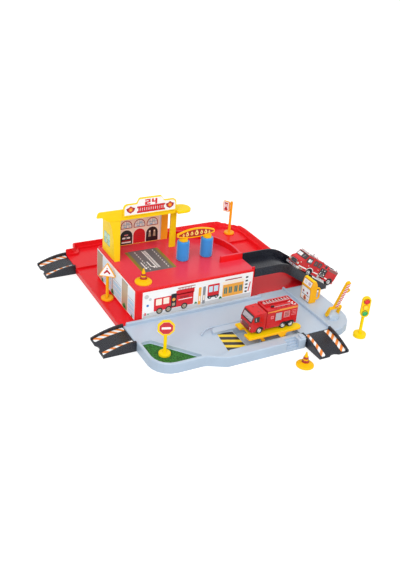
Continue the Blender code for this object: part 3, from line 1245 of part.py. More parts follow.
def make_pumper(red, dark, steel, tyre):
    """The long-nosed pumper on the deck ramp; its own frame is at its rear axle, the front at -X."""
    frame = make_empty(
        "pumper_frame", (PUMPER_REAR_X, PUMPER_Y, PUMPER_WHEEL_RADIUS + GAP), DATUM, (0.0, pumper_pitch(), 0.0))
    half = PUMPER_WIDTH / 2.0
    radius = PUMPER_WHEEL_RADIUS
    arch = radius + 0.0010
    depth = WHEEL_WIDTH + 0.0012
    front = -PUMPER_WHEELBASE - PUMPER_FRONT_OVERHANG
    rear = PUMPER_REAR_OVERHANG
    floor = -0.0010
    chassis_half = half - depth - GAP
    room = half - depth + GAP
    chassis_top = 0.0024

    chassis = block(front + 0.004, rear - 0.001, -chassis_half, chassis_half, -0.0022, chassis_top)
    bumper = block(front - 0.0022, front + 0.0046, -half, half, -0.0016, chassis_top - 0.0002)
    chassis = fuse(chassis, bumper)
    holes = [rod((x, -half, 0.0), (x, half, 0.0), AXLE_RADIUS + RUNNING_GAP, 12) for x in (-PUMPER_WHEELBASE, 0.0)]
    finish(carve(chassis, *holes), "pumper_chassis", steel, frame)

    cab_rear = front + PUMPER_CAB_LENGTH
    nose = chassis_top + GAP
    cab = upright(
        [(front, nose, 0.0005), (front + 0.0048, nose, 0.0), (front + 0.0048, floor, 0.0), (cab_rear, floor, 0.0),
         (cab_rear, PUMPER_CAB_TOP, 0.0015), (front + 0.0112, PUMPER_CAB_TOP, 0.0015),
         (front + 0.0078, 0.0158, 0.0008), (front + 0.0020, 0.0118, 0.0015)], -half, half)
    below = block(front - 0.001, cab_rear + 0.001, -room, room, -0.01, nose)
    bumper_room = block(front - 0.001, front + 0.0046 + GAP, -half - 0.001, half + 0.001, -0.01, nose)
    screen = upright(
        [(front + 0.0030, 0.0168, 0.0), (front + 0.0087, 0.0168, 0.0), (front + 0.0111, 0.0230, 0.0),
         (front + 0.0030, 0.0230, 0.0)], -half + 0.0016, half - 0.0016)
    windows = [
        block(front + x, front + x + width, side * half - 0.0005, side * half + 0.0005, 0.0140, 0.0213)
        for side in (-1.0, 1.0) for x, width in ((0.0130, 0.0095), (0.0285, 0.0072), (0.0378, 0.0066))]
    cab = carve(cab, below, bumper_room, screen, *windows,
                *arch_cutters(-PUMPER_WHEELBASE, 0.0, arch, PUMPER_WIDTH, depth))
    finish(cab, "pumper_cab", red, frame)

    panel_front = cab_rear + GAP
    panel_rear = panel_front + PUMPER_PANEL_LENGTH
    panel = block(panel_front, panel_rear, -half + 0.0006, half - 0.0006, nose, PUMPER_BODY_TOP - 0.0015)
    gauges = [
        rod((panel_front + 0.003 + 0.006 * column, side * (half - 0.0016), 0.0085 + 0.005 * row),
            (panel_front + 0.003 + 0.006 * column, side * (half + 0.0002), 0.0085 + 0.005 * row), 0.0013, 10)
        for side in (-1.0, 1.0) for column in range(2) for row in range(2)]
    finish(fuse(panel, *gauges), "pumper_pump_panel", dark, frame)

    body_front = panel_rear + GAP
    body = upright(
        [(body_front, floor, 0.0004), (rear, floor, 0.0006), (rear, PUMPER_BODY_TOP - 0.0040, 0.001),
         (body_front, PUMPER_BODY_TOP - 0.0040, 0.0004)], -half, half)
    below = block(body_front - 0.001, rear + 0.001, -room, room, -0.01, nose)
    bed = block(body_front + 0.0015, rear - 0.0015, -half + 0.0030, half - 0.0030, PUMPER_BODY_TOP - 0.0080,
                PUMPER_BODY_TOP + 0.001)
    body = carve(body, below, bed, *arch_cutters(0.0, 0.0, arch, PUMPER_WIDTH, depth))
    finish(body, "pumper_body", red, frame)

    hoses = [
        block(body_front + 0.0022, rear - 0.0022, -0.0085 + 0.0058 * index, -0.0085 + 0.0058 * index + 0.0054,
              PUMPER_BODY_TOP - 0.0080 + GAP, PUMPER_BODY_TOP - 0.0035 + 0.0006 * (index % 2))
        for index in range(3)]
    tray = block(body_front + 0.0022, rear - 0.0022, -0.0085, -0.0085 + 0.0058 * 3 - 0.0004,
                 PUMPER_BODY_TOP - 0.0080 + GAP, PUMPER_BODY_TOP - 0.0052)
    finish(fuse(tray, *hoses), "pumper_hose_bed", dark, frame)

    light_low = PUMPER_CAB_TOP + GAP
    light_bar = drafted(
        box_corners(front + 0.0100, front + 0.0140, -half + 0.003, half - 0.003, 0.0008),
        [(light_low, 0.0), (light_low + 0.0022, 0.0006)])
    finish(light_bar, "pumper_light_bar", steel, frame)

    for index, x in enumerate((-PUMPER_WHEELBASE, 0.0)):
        make_wheelset("pumper_axle_%d" % (index + 1), (x, 0.0, 0.0), PUMPER_WIDTH - 0.0004, radius, frame, tyre, steel)


# Assembly


def build():
    global PARTS, DATUM
    clear_scene()
    PARTS = make_collection(COLLECTION_NAME)
    DATUM = make_empty("datum", (-GARAGE_WIDTH / 2.0, -GARAGE_DEPTH / 2.0, 0.0))

    red = plastic("red_plastic", (0.78, 0.02, 0.03), 0.25)
    grey = plastic("blue_grey_plastic", (0.52, 0.62, 0.72), 0.3)
    yellow = plastic("yellow_plastic", (0.95, 0.65, 0.01), 0.28)
    amber = plastic("amber_plastic", (0.93, 0.45, 0.02), 0.3)
    black = plastic("black_plastic", (0.015, 0.016, 0.022), 0.28)
    blue = plastic("blue_brush", (0.05, 0.27, 0.66), 0.6)
    paint = plastic("engine_red_paint", (0.62, 0.01, 0.015), 0.2)
    dark = plastic("dark_trim", (0.02, 0.02, 0.024), 0.45)
    steel = plastic("plated_metal", (0.62, 0.60, 0.58), 0.25, 1.0)
    tyre = plastic("tyre_black", (0.012, 0.012, 0.012), 0.6)

    make_base_front(grey)
    make_base_rear(red)
    make_garage(red)
    left_end = BASE_LEFT - GAP
    make_small_ramp("ramp_front_left", (left_end, FRONT_LEFT_RAMP_Y), math.pi, black)
    make_small_ramp("ramp_rear_left", (left_end - 0.002, REAR_RAMP_Y), math.pi, black)
    make_small_ramp(
        "ramp_front_right", (FRONT_RIGHT_RAMP_X, BASE_FRONT + RAMP_SLOT_DEPTH - GAP), -math.pi / 2.0, black)
    make_deck_ramp(black)
    make_station(yellow, amber)
    make_car_wash(yellow, blue)
    make_lift_arm("lift_arm_front", ARM_PIVOT_X, yellow)
    make_lift_arm("lift_arm_rear", ARM_PIVOT_X + ARM_SPACING, yellow)
    make_lift_platform(yellow)
    make_barrier(yellow)
    make_fuel_pump(yellow)
    make_stop_sign(yellow)
    make_triangle_sign(amber)
    make_flag_sign(amber)
    make_traffic_light(yellow)
    make_cone("cone_deck", CONE_DECK_PLACE, DECK_TOP + GAP, yellow)
    make_cone("cone_front", CONE_FRONT_PLACE, 0.0, yellow)
    make_engine(paint, dark, steel, tyre)
    make_pumper(paint, dark, steel, tyre)
    bpy.context.view_layer.update()


build()
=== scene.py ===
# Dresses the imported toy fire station: moulded plastic materials, printed stickers, small trim, floor,
# light and camera. Stickers are thin raised layers, drawn in millimetres on the plane that carries them.

import json
import math

import bmesh
import bpy
from mathutils import Matrix, Vector


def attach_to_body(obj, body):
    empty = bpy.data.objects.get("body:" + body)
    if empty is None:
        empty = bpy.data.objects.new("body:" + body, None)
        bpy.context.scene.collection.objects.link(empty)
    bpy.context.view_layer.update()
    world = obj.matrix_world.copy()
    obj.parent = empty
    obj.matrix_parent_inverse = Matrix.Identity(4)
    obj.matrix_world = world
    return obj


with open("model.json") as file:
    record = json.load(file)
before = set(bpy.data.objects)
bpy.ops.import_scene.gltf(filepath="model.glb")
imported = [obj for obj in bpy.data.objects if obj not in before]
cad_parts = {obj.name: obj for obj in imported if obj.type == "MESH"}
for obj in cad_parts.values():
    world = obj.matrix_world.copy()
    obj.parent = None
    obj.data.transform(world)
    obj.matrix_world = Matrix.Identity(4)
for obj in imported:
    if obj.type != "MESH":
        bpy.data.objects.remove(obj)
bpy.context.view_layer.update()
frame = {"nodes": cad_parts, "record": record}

MM = 0.001
DATUM = Matrix.Translation((-0.095, -0.074, 0.0))
LAYER = 0.06
NODES = frame["nodes"]
ROOT = "play_set"

DECK_TOP = 60.0
ROAD_TOP = 11.0
ENGINE_FRAME = Matrix.Translation((0.1215, -0.0915, 0.0233))
PUMPER_PITCH = math.radians(30.493)
PUMPER_FRAME = Matrix.Translation((0.3375, 0.0195, 0.0063)) @ Matrix.Rotation(PUMPER_PITCH, 4, "Y")

# Axes of the planes that carry prints, across and up, and the two sides of a vehicle.
FRONT = ((1, 0, 0), (0, 0, 1))
LEFT = ((0, -1, 0), (0, 0, 1))
TOP = ((1, 0, 0), (0, 1, 0))
SIDES = (("near", -1.0), ("far", 1.0))


# Materials


def preset(made, settings):
    """Sets a node's inputs and, where it has no input of that name, its properties."""
    for key, value in settings.items():
        if key in made.inputs.keys():
            made.inputs[key].default_value = value
        else:
            setattr(made, key, value)
    return made


def node(tree, kind, **settings):
    return preset(tree.nodes.new(kind), settings)


def tone_ramp(tree, first, last, dark, pale):
    """A ramp from one colour to another between two positions."""
    made = node(tree, "ShaderNodeValToRGB")
    for element, position, color in zip(made.color_ramp.elements, (first, last), (dark, pale)):
        element.position = position
        element.color = (*color, 1.0)
    return made


def surface(name, color, roughness, metallic=0.0, mottle=0.05, grain=900.0, bump=0.04, wear=0.12, coat=0.0,
            shine=0.5, top=None):
    """A plastic or paint whose colour, gloss and relief vary slightly, with paler worn edges.

    Faces that look up take the top colour, where one is given: painted light, a lighter top that stands in for
    the light and reflected sky falling on upward faces.
    """
    material = bpy.data.materials.new(name)
    material.use_nodes = True
    tree = material.node_tree
    link = tree.links.new
    shader = preset(tree.nodes["Principled BSDF"], {
        "Metallic": metallic, "Coat Weight": coat, "Coat Roughness": 0.08, "Specular IOR Level": shine})
    place = node(tree, "ShaderNodeTexCoord", name="place")
    broad = node(tree, "ShaderNodeTexNoise", name="broad", Scale=45.0, Detail=3.0)
    fine = node(tree, "ShaderNodeTexNoise", name="fine", Scale=grain, Detail=2.0)
    link(place.outputs["Object"], broad.inputs["Vector"])
    link(place.outputs["Object"], fine.inputs["Vector"])

    dark = [c * (1.0 - mottle) for c in color]
    pale = [min(1.0, c * (1.0 + mottle)) for c in color]
    tone = tone_ramp(tree, 0.3, 0.7, dark, pale)
    link(broad.outputs["Fac"], tone.inputs["Fac"])
    shape = node(tree, "ShaderNodeNewGeometry")
    edges = tone_ramp(tree, 0.54, 0.66, (0.0, 0.0, 0.0), (wear, wear, wear))
    link(shape.outputs["Pointiness"], edges.inputs["Fac"])
    worn = node(tree, "ShaderNodeMix", data_type="RGBA")
    link(edges.outputs["Color"], worn.inputs["Factor"])
    link(tone.outputs["Color"], worn.inputs[6])
    worn.inputs[7].default_value = (*[c + (1.0 - c) * 0.16 for c in color], 1.0)
    source = worn.outputs[2]
    # Painted light: upward faces are mixed towards the lighter top colour, standing in for light and reflected
    # sky that fall on them.
    if top:
        axes = node(tree, "ShaderNodeSeparateXYZ")
        link(shape.outputs["Normal"], axes.inputs[0])
        painted_top_light_share = preset(node(tree, "ShaderNodeMapRange"), {"From Min": 0.6, "From Max": 0.97})
        link(axes.outputs["Z"], painted_top_light_share.inputs["Value"])
        upper = node(tree, "ShaderNodeMix", data_type="RGBA")
        link(painted_top_light_share.outputs["Result"], upper.inputs["Factor"])
        link(source, upper.inputs[6])
        upper.inputs[7].default_value = (*top, 1.0)
        source = upper.outputs[2]
    link(source, shader.inputs["Base Color"])

    gloss = preset(node(tree, "ShaderNodeMapRange"), {
        "To Min": max(0.03, roughness - 0.05), "To Max": roughness + 0.07})
    link(fine.outputs["Fac"], gloss.inputs["Value"])
    link(gloss.outputs["Result"], shader.inputs["Roughness"])
    relief = node(tree, "ShaderNodeBump", Strength=bump, Distance=0.0004)
    link(fine.outputs["Fac"], relief.inputs["Height"])
    link(relief.outputs["Normal"], shader.inputs["Normal"])
    return material


def bristles(name, color):
    """Dense upright bristles: fine vertical streaks with a deep soft relief and a pale sheen."""
    material = surface(name, color, 0.62, mottle=0.10, grain=1500.0, bump=0.5, wear=0.0)
    tree = material.node_tree
    stretch = node(tree, "ShaderNodeMapping", Scale=(1.0, 1.0, 0.06))
    tree.links.new(tree.nodes["place"].outputs["Object"], stretch.inputs["Vector"])
    tree.links.new(stretch.outputs["Vector"], tree.nodes["fine"].inputs["Vector"])
    preset(tree.nodes["Principled BSDF"], {"Sheen Weight": 0.9, "Sheen Roughness": 0.35})
    return material


# The top colours below are painted light: upward faces of the red, deck and grey plastics are lighter, and the
# deck's also pinker, standing in for light and reflected sky that fall on them.
MOULDED_RED = (0.76, 0.008, 0.012)
RED = surface("moulded_red", MOULDED_RED, 0.24, shine=0.16, top=(0.85, 0.011, 0.019))
DECK_RED_PAINTED_SHEEN = surface("moulded_red_deck_painted_sheen", MOULDED_RED, 0.24, shine=0.20, top=(0.80, 0.046, 0.078))
GREY = surface("moulded_blue_grey", (0.40, 0.50, 0.62), 0.30, mottle=0.03, shine=0.4, top=(0.51, 0.60, 0.71))
YELLOW = surface("moulded_yellow", (0.95, 0.66, 0.002), 0.28, mottle=0.04, shine=0.10)
AMBER = surface("moulded_amber", (0.95, 0.41, 0.004), 0.30, mottle=0.04, shine=0.12)
SUNNY = surface("moulded_sun_yellow", (0.96, 0.52, 0.003), 0.30, mottle=0.04, shine=0.12)
# The pump's top colour is painted light: upward faces turn a paler yellow over the orange sides, standing in for
# light falling on them.
PUMP = surface("moulded_pump_yellow", (0.93, 0.44, 0.003), 0.30, mottle=0.04, shine=0.12,
               top=(0.96, 0.66, 0.003))
BLACK = surface("moulded_black", (0.010, 0.012, 0.020), 0.27, mottle=0.10, wear=0.05, shine=0.4)
BRUSH = bristles("blue_bristle", (0.025, 0.27, 0.70))
# The enamel's top colour is painted light: upward faces are lighter, standing in for light falling on them.
PAINT = surface("engine_red_enamel", (0.54, 0.005, 0.008), 0.18, mottle=0.03, grain=1600.0, bump=0.02,
                coat=0.08, shine=0.22, top=(0.70, 0.011, 0.017))
TRIM = surface("dark_trim", (0.018, 0.018, 0.021), 0.42, mottle=0.15)
STEEL = surface("plated_metal", (0.62, 0.60, 0.58), 0.24, metallic=1.0)
TYRE = surface("tyre_rubber", (0.012, 0.012, 0.013), 0.6, mottle=0.2)

LOOKS = {
    "red_plastic": RED, "blue_grey_plastic": GREY, "yellow_plastic": YELLOW, "amber_plastic": AMBER,
    "black_plastic": BLACK, "blue_brush": BRUSH, "engine_red_paint": PAINT, "dark_trim": TRIM,
    "plated_metal": STEEL, "tyre_black": TYRE}
OWN_LOOKS = {
    "garage": DECK_RED_PAINTED_SHEEN, "barrier_arm": SUNNY, "car_wash_sign": SUNNY, "fuel_pump": PUMP,
    "lift_platform": PUMP, "lift_arm_front": AMBER, "lift_arm_rear": AMBER, "cone_deck": SUNNY,
    "cone_front": SUNNY}

INK_COLORS = {
    "white": (0.92, 0.92, 0.91), "cream": (0.97, 0.86, 0.72), "pale_blue": (0.62, 0.82, 0.92),
    "sky": (0.36, 0.66, 0.86), "line_blue": (0.22, 0.42, 0.58), "tan": (0.44, 0.36, 0.24),
    "leaf": (0.02, 0.30, 0.08), "red": (0.70, 0.012, 0.020), "dark_red": (0.36, 0.01, 0.015),
    "black": (0.012, 0.012, 0.014), "grey": (0.26, 0.27, 0.29), "pale_grey": (0.60, 0.61, 0.62),
    "asphalt": (0.125, 0.135, 0.15), "olive": (0.24, 0.21, 0.02), "orange": (0.86, 0.24, 0.03),
    "warm_orange": (0.90, 0.40, 0.05), "yellow": (0.93, 0.66, 0.02), "teal": (0.02, 0.19, 0.17),
    "blue": (0.05, 0.20, 0.55), "glass": (0.045, 0.045, 0.05), "silver": (0.48, 0.44, 0.47),
    "silver_line": (0.30, 0.25, 0.28), "rust": (0.30, 0.05, 0.04), "gold": (0.80, 0.30, 0.02),
    "bed_brown": (0.16, 0.09, 0.08), "plum": (0.28, 0.16, 0.30), "rose": (0.80, 0.30, 0.32),
    "ice": (0.72, 0.86, 0.93), "dark_tan": (0.33, 0.26, 0.17), "lamp_green": (0.01, 0.36, 0.09),
    # The green and red lens spots and sun in the next two lines are painted highlights on the traffic lenses.
    "lamp_red": (0.66, 0.01, 0.015), "dark_green": (0.03, 0.20, 0.04), "green_lens_painted_highlight": (0.02, 0.46, 0.13),
    "red_lens_painted_highlight": (0.80, 0.02, 0.03), "sun": (0.96, 0.74, 0.04), "fire_orange": (0.78, 0.07, 0.02),
    "cap_white": (0.94, 0.95, 0.96), "gold_brown": (0.42, 0.19, 0.08), "teal_green": (0.09, 0.36, 0.26),
    "door_blue": (0.16, 0.56, 0.84), "mint": (0.60, 0.86, 0.80), "wash_red": (0.42, 0.02, 0.01),
    "deep_red": (0.48, 0.01, 0.02), "deep_stop": (0.58, 0.012, 0.022), "cone_red": (0.40, 0.02, 0.01),
    "soft_yellow": (0.95, 0.76, 0.20), "pink_grey": (0.72, 0.55, 0.57), "lens_grey": (0.42, 0.38, 0.42)}
INKS = {}


def ink(name):
    if name not in INKS:
        INKS[name] = surface("print_" + name, INK_COLORS[name], 0.30, mottle=0.03, grain=700.0, bump=0.02,
                             wear=0.0)
    return INKS[name]


def grass():
    """Printed turf: green blades as a fine two-scale speckle."""
    material = surface("print_turf", (0.030, 0.150, 0.022), 0.55, mottle=0.75, grain=1300.0, bump=0.30,
                       wear=0.0, shine=0.2)
    material.node_tree.nodes["broad"].inputs["Scale"].default_value = 520.0
    return material


INKS["turf"] = grass()

for entry in frame["record"]["subparts"]:
    NODES[entry["node"]].data.materials.clear()
    NODES[entry["node"]].data.materials.append(OWN_LOOKS.get(entry["node"], LOOKS[entry["material_slot"]]))


# Drawing


def polar(u, v, radius, angle):
    return u + radius * math.cos(angle), v + radius * math.sin(angle)


def from_axes(across, up, normal, place):
    """The matrix whose columns are three axes and a place."""
    return Matrix((*zip(across, up, normal, place), (0, 0, 0, 1)))


def plane(origin, across, up, base=None):
    """Matrix of a printed plane; its third axis is the outward normal. The origin is in millimetres."""
    normal = Vector(across).cross(Vector(up))
    return DATUM @ (base or Matrix.Identity(4)) @ from_axes(across, up, normal, [c * MM for c in origin])


def added(name, data):
    """A new object in the scene."""
    obj = bpy.data.objects.new(name, data)
    bpy.context.scene.collection.objects.link(obj)
    return obj


def attach(name, bm, inks, matrix, body=ROOT, smooth=False, thickness=0, offset=0):
    """Makes a piece from geometry drawn in millimetres, and lets it ride on a body."""
    mesh = bpy.data.meshes.new(name)
    bm.to_mesh(mesh)
    bm.free()
    for color in inks:
        mesh.materials.append(ink(color))
    mesh.transform(matrix @ Matrix.Scale(MM, 4))
    if smooth:
        mesh.shade_smooth()
    obj = added(name, mesh)
    if thickness:
        thick = obj.modifiers.new("thickness", "SOLIDIFY")
        thick.thickness = thickness
        thick.offset = offset
    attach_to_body(obj, body)


class Sticker:
    """Flat printed shapes in layers on one plane, drawn in millimetres from a corner on it."""

    def __init__(self, name, matrix, corner=(0, 0)):
        self.name = name
        self.matrix = matrix
        self.corner = corner
        self.bm = bmesh.new()
        self.inks = []

    def shape(self, points, color, layer=1, sunk=0, proud=0):
        """One flat shape; sunk fills a recess below the plane and proud raises it above its layer, in mm."""
        if color not in self.inks:
            self.inks.append(color)
        low = (0.02 if layer == 1 else LAYER * (layer - 1) - 0.01) - sunk
        high = LAYER * layer + proud
        points = [(u + self.corner[0], v + self.corner[1]) for u, v in points]
        lower, upper = ([self.bm.verts.new((u, v, level)) for u, v in points] for level in (low, high))
        walls = [(lower[i - 1], lower[i], upper[i], upper[i - 1]) for i in range(len(points))]
        for corners in (upper, lower[::-1], *walls):
            self.bm.faces.new(corners).material_index = self.inks.index(color)

    def rect(self, left, low, right, high, color, layer=1, radius=0, sunk=0, proud=0):
        left, right = min(left, right), max(left, right)
        points = [(left, low), (right, low), (right, high), (left, high)]
        if radius > 0:
            points = []
            corners = ((right - radius, high - radius), (left + radius, high - radius),
                       (left + radius, low + radius), (right - radius, low + radius))
            for i, (u, v) in enumerate(corners):
                points += [polar(u, v, radius, math.pi / 2 * (i + step / 4)) for step in range(5)]
        self.shape(points, color, layer, sunk, proud)

    def rects(self, *rows):
        for row in rows:
            self.rect(*row)

    def disc(self, u, v, radius, color, layer=1, steps=20, proud=0):
        points = [polar(u, v, radius, 2 * math.pi * i / steps) for i in range(steps)]
        self.shape(points, color, layer, 0, proud)

    def ring(self, u, v, inner, outer, color, first, last, layer=1, steps=18, proud=0):
        """Part of a ring between two angles in degrees."""
        for i in range(steps):
            a, b = (math.radians(first + (last - first) * (i + k) / steps) for k in (0, 1))
            points = [polar(u, v, inner, a), polar(u, v, outer, a), polar(u, v, outer, b), polar(u, v, inner, b)]
            self.shape(points, color, layer, 0, proud)

    def arch(self, left, low, right, high, color, layer=1):
        """A rectangle under a half-round head."""
        middle = (left + right) / 2
        reach = (right - left) / 2
        rise = min(reach, high - low)
        points = [(left, low), (right, low)]
        for step in range(9):
            angle = math.pi * step / 8
            points.append((middle + reach * math.cos(angle), high - rise + rise * math.sin(angle)))
        self.shape(points, color, layer)

    def line(self, start, end, width, color, layer=1):
        start, end = Vector(start), Vector(end)
        along = (end - start).normalized()
        side = Vector((-along.y, along.x)) * width / 2
        self.shape([start - side, end - side, end + side, start + side], color, layer)

    def build(self, body=ROOT):
        bmesh.ops.recalc_face_normals(self.bm, faces=self.bm.faces)
        attach(self.name, self.bm, self.inks, self.matrix, body)


class SidePrint(Sticker):
    """A print on one side of a vehicle; u counts to the rear on both sides."""

    def __init__(self, name, base, half, side):
        super().__init__(name, plane((0, side * half, 0), (-side, 0, 0), (0, 0, 1), base))
        self.flip = -side

    def shape(self, points, color, layer=1, sunk=0, proud=0):
        turned = [(u * self.flip, v) for u, v in points]
        super().shape(turned if self.flip > 0 else turned[::-1], color, layer, sunk, proud)


def revolve(profile, steps):
    """A turned surface about the third axis, from (radius, height) pairs in millimetres."""
    bm = bmesh.new()
    rings = []
    for radius, height in profile:
        around = range(steps if radius > 0.001 else 1)
        rings.append([bm.verts.new((*polar(0, 0, radius, 2 * math.pi * i / steps), height)) for i in around])
    for lower, upper in zip(rings, rings[1:]):
        for i in range(steps):
            j = (i + 1) % steps
            corners = [ring[k % len(ring)] for ring, k in ((lower, i), (lower, j), (upper, j), (upper, i))]
            bm.faces.new(list(dict.fromkeys(corners)))
    bmesh.ops.recalc_face_normals(bm, faces=bm.faces)
    return bm


def clipped(points, outline):
    """The part of a convex shape that lies inside a convex outline whose corners run anticlockwise."""
    kept = list(points)
    for i, (ax, ay) in enumerate(outline):
        bx, by = outline[(i + 1) % len(outline)]
        given, kept = kept, []
        for place, (px, py) in enumerate(given):
            qx, qy = given[(place + 1) % len(given)]
            here = (bx - ax) * (py - ay) - (by - ay) * (px - ax)
            there = (bx - ax) * (qy - ay) - (by - ay) * (qx - ax)
            if here >= 0:
                kept.append((px, py))
            if here * there < 0:
                share = here / (here - there)
                kept.append((px + (qx - px) * share, py + (qy - py) * share))
    return kept if len(kept) > 2 else None


# The five rows of a numeral, from its top, and the filled cells of each kind of row: full, left, right, both.
DIGIT_ROWS = {"2": "FRFLF", "4": "BBFRR", "5": "FLFRF", "9": "FBFRF"}
ROW_CELLS = {"F": ((0, 3),), "L": ((0, 1),), "R": ((2, 3),), "B": ((0, 1), (2, 3))}


def number(sticker, text, left, low, height, color, layer, wide=1):
    """Plain block numerals, each five rows high and three wide."""
    cell = height / 5
    across = cell * wide
    for place, digit in enumerate(text):
        start = left + place * across * 3.9
        for row, kind in enumerate(DIGIT_ROWS[digit]):
            top = low + height - row * cell
            for first, last in ROW_CELLS[kind]:
                sticker.rect(start + first * across, top - cell - 0.02, start + last * across, top, color, layer)


def flame(sticker, u, v, size, outer, inner, layer=2):
    """A plain flame: a pointed drop with a smaller one inside."""
    for scale, color, step in ((1, outer, 0), (0.55, inner, 1)):
        reach = size * 0.42 * scale
        points = []
        for i in range(16):
            angle = 2 * math.pi * i / 16
            pull = 1 + 0.75 * max(0, math.sin(angle)) ** 3
            points.append((u + reach * math.cos(angle) * (1.25 - 0.35 * math.sin(angle)),
                           v + reach * math.sin(angle) * pull - size * 0.06 * (1 - scale)))
        sticker.shape(points, color, layer + step)


# Garage stickers


DOOR_SLATS = 10


def roller_door(wall, left, right, low, high):
    """A pale roller door with thin slat lines."""
    wall.rect(left, low, right, high, "pale_blue", 2)
    pitch = (high - low) / DOOR_SLATS
    for i in range(1, DOOR_SLATS):
        v = low + pitch * i
        wall.rect(left + 0.5, v - 0.55, right - 0.5, v + 0.55, "door_blue", 3)
    for i in range(0, DOOR_SLATS, 3):
        v = low + pitch * i
        wall.rect(left + 0.5, v + 0.5, right - 0.5, v + pitch - 0.4, "white", 3)


def shrub(wall, u, low, size):
    for du, dv, scale in ((-0.45, 0.35, 0.55), (0.5, 0.3, 0.5), (0, 0.75, 0.62)):
        wall.disc(u + du * size, low + dv * size, scale * size, "leaf", 4, 9)


def make_left_sticker():
    """Three roller doors between broad tan pillars, with shrubs at their feet; u is the way to the front."""
    wall = Sticker("left_wall_sticker", plane((0, 0, 0), *LEFT), (0, 12.3))
    lintel, top = 27.2, 46.1
    wall.rect(-147.5, 0, -5, top, "white", 1, 1.2)
    for first, last in ((-123.5, -90), (-83, -52.5), (-28, -6.5)):
        middle = (first + last) / 2
        roller_door(wall, first, last, 0.5, lintel)
        wall.rects(
            (first, lintel + 1, last, top - 3.5, "ice", 2),
            (first, lintel - 0.2, last, lintel + 0.8, "line_blue", 3),
            (middle - 0.3, lintel + 1, middle + 0.3, top - 3.5, "pale_blue", 3))
    for first, last in ((-146.5, -125.5), (-50.5, -30)):
        wall.rects(
            (first, 0.5, last, top - 2.6, "tan", 2),
            (first - 0.6, top - 4, last + 0.6, top - 2.4, "grey", 3),
            (first, 0.5, first + 1.6, top - 4, "dark_tan", 3))
    wall.rect(-89, 0.5, -84, lintel + 8, "pale_grey", 2)
    wall.rect(-85.2, 0.5, -84, lintel + 8, "grey", 3)
    for u, size in ((-125, 4.4), (-85.5, 5.8), (-40, 6.4), (-14, 2.8)):
        shrub(wall, u, 0.4, size)
    wall.build()


def hose_reel(wall, u, v, radius):
    wall.disc(u, v, radius, "black", 3, 22)
    wall.disc(u, v, radius * 0.62, "tan", 4, 18)
    wall.disc(u, v, radius * 0.3, "black", 5, 12)
    wall.disc(u, v, radius * 0.15, "cream", 6, 8)


def make_front_sticker():
    """An equipment wall: hose reels on a red rack, lockers, a window, doors and plants."""
    wall = Sticker("front_wall_sticker", plane((0, 0, 0), *FRONT), (0, 14.6))
    wall.rects(
        (9.5, 0, 187, 42.4, "white", 1, 0.8), (10.5, 1, 186, 8, "pale_grey", 2),
        (27, 8.5, 89, 29.4, "red", 2, 1.5), (61, 27.9, 90, 34.9, "red", 2, 1))
    for u in (36, 50, 75):
        hose_reel(wall, u, 8, 5)
    wall.rects(
        (30, 17.5, 39, 27.4, "cream", 3, 0.6), (41.5, 17.5, 50.5, 27.4, "cream", 3, 0.6),
        (53.5, 10, 62, 31.4, "black", 3, 0.6))
    wall.disc(57.7, 22, 2.6, "warm_orange", 4, 14)
    wall.rect(55.5, 12, 60, 16.5, "tan", 4)
    for i in range(9):
        u = 65 + i * 2.4
        wall.rect(u, 35.4, u + 0.7, 39.2, "dark_red", 3)
    wall.rects(
        (63, 38.4, 91, 39.4, "dark_red", 4), (63, 34.8, 91, 35.6, "dark_red", 4),
        (65, 19, 87, 20.2, "white", 3), (67, 22, 81, 24.5, "dark_red", 3))
    wall.disc(15.5, 34.4, 3.4, "pale_grey", 2, 16)
    wall.disc(21, 29.4, 2.3, "pale_grey", 2, 14)
    wall.disc(17.5, 20, 2, "blue", 2, 12)
    wall.rect(13, 4.5, 15, 9, "red", 3, 0.5)
    wall.disc(18.5, 6, 1, "leaf", 3, 8)
    for u, color in ((97, "warm_orange"), (104, "grey")):
        wall.rect(u, 5, u + 4.4, 33.4, color, 3, 1.2)
        wall.rect(u + 0.9, 11, u + 3.5, 19, "cream", 4)
    wall.rects(
        (112, 14, 131, 34.4, "red", 2, 1.2), (114, 22, 120, 31.4, "pale_blue", 3),
        (122, 22, 129, 31.4, "pale_blue", 3), (112, 13, 131, 16, "black", 3))
    for u in (116, 127):
        wall.disc(u, 13, 2.6, "black", 4, 14)
        wall.disc(u, 13, 1.2, "pale_grey", 5, 10)
    wall.rects(
        (137, 9, 172, 29.4, "warm_orange", 2, 0.6), (136, 29.9, 173, 34.4, "cream", 2),
        (140, 35.9, 168, 37.6, "dark_red", 2))
    for u in (139.5, 147.5, 157, 165):
        wall.rect(u, 14, u + 5, 24.4, "teal", 3)
        wall.rect(u + 2.2, 14, u + 2.8, 24.4, "warm_orange", 4)
    for i in range(5):
        v = 10 + i * 6
        wall.rect(175, v, 179, v + 2.6, "black", 2, 0.3)
    wall.line((181, 11), (183.5, 26.4), 1.8, "red", 3)
    shrub(wall, 134, 8, 2.6)
    shrub(wall, 93.5, 8, 2.2)
    wall.build()


def make_deck_sticker():
    """Road markings: two verges, an asphalt lane, dashes, a ladder of hatching and two arrows."""
    road = Sticker("deck_road_sticker", plane((0, 0, DECK_TOP), *TOP), (30.4, 47.6))
    width, length = 54.1, 67.7
    road.rect(0, 0, width, length, "olive")
    road.rect(5.2, 0, width - 5.2, length, "asphalt", 2)
    for u in (14, width - 11):
        for i in range(9):
            v = 5 + i * 6.9
            road.rect(u - 0.2, v, u + 1.2, v + 3.1, "white", 3)
    middle = width / 2 + 1.5
    for u in (middle - 3.2, middle + 2):
        road.rect(u, 8, u + 1.2, length - 4, "white", 3)
    for i in range(17):
        v = 9 + i * 3.2
        road.line((middle - 2.2, v), (middle + 2.2, v + 1.8), 1.1, "white", 3)
    for u, bend in ((10.2, 0), (19.5, 3.4)):
        road.line((u, 30), (u, 14), 1.6, "white", 3)
        if bend:
            road.line((u, 14.4), (u + bend, 11), 1.6, "white", 4)
        road.shape([(u + bend - 2.4, 13.1), (u + bend, 7.7), (u + bend + 2.4, 13.1)], "white", 5)
    road.build()


# Station


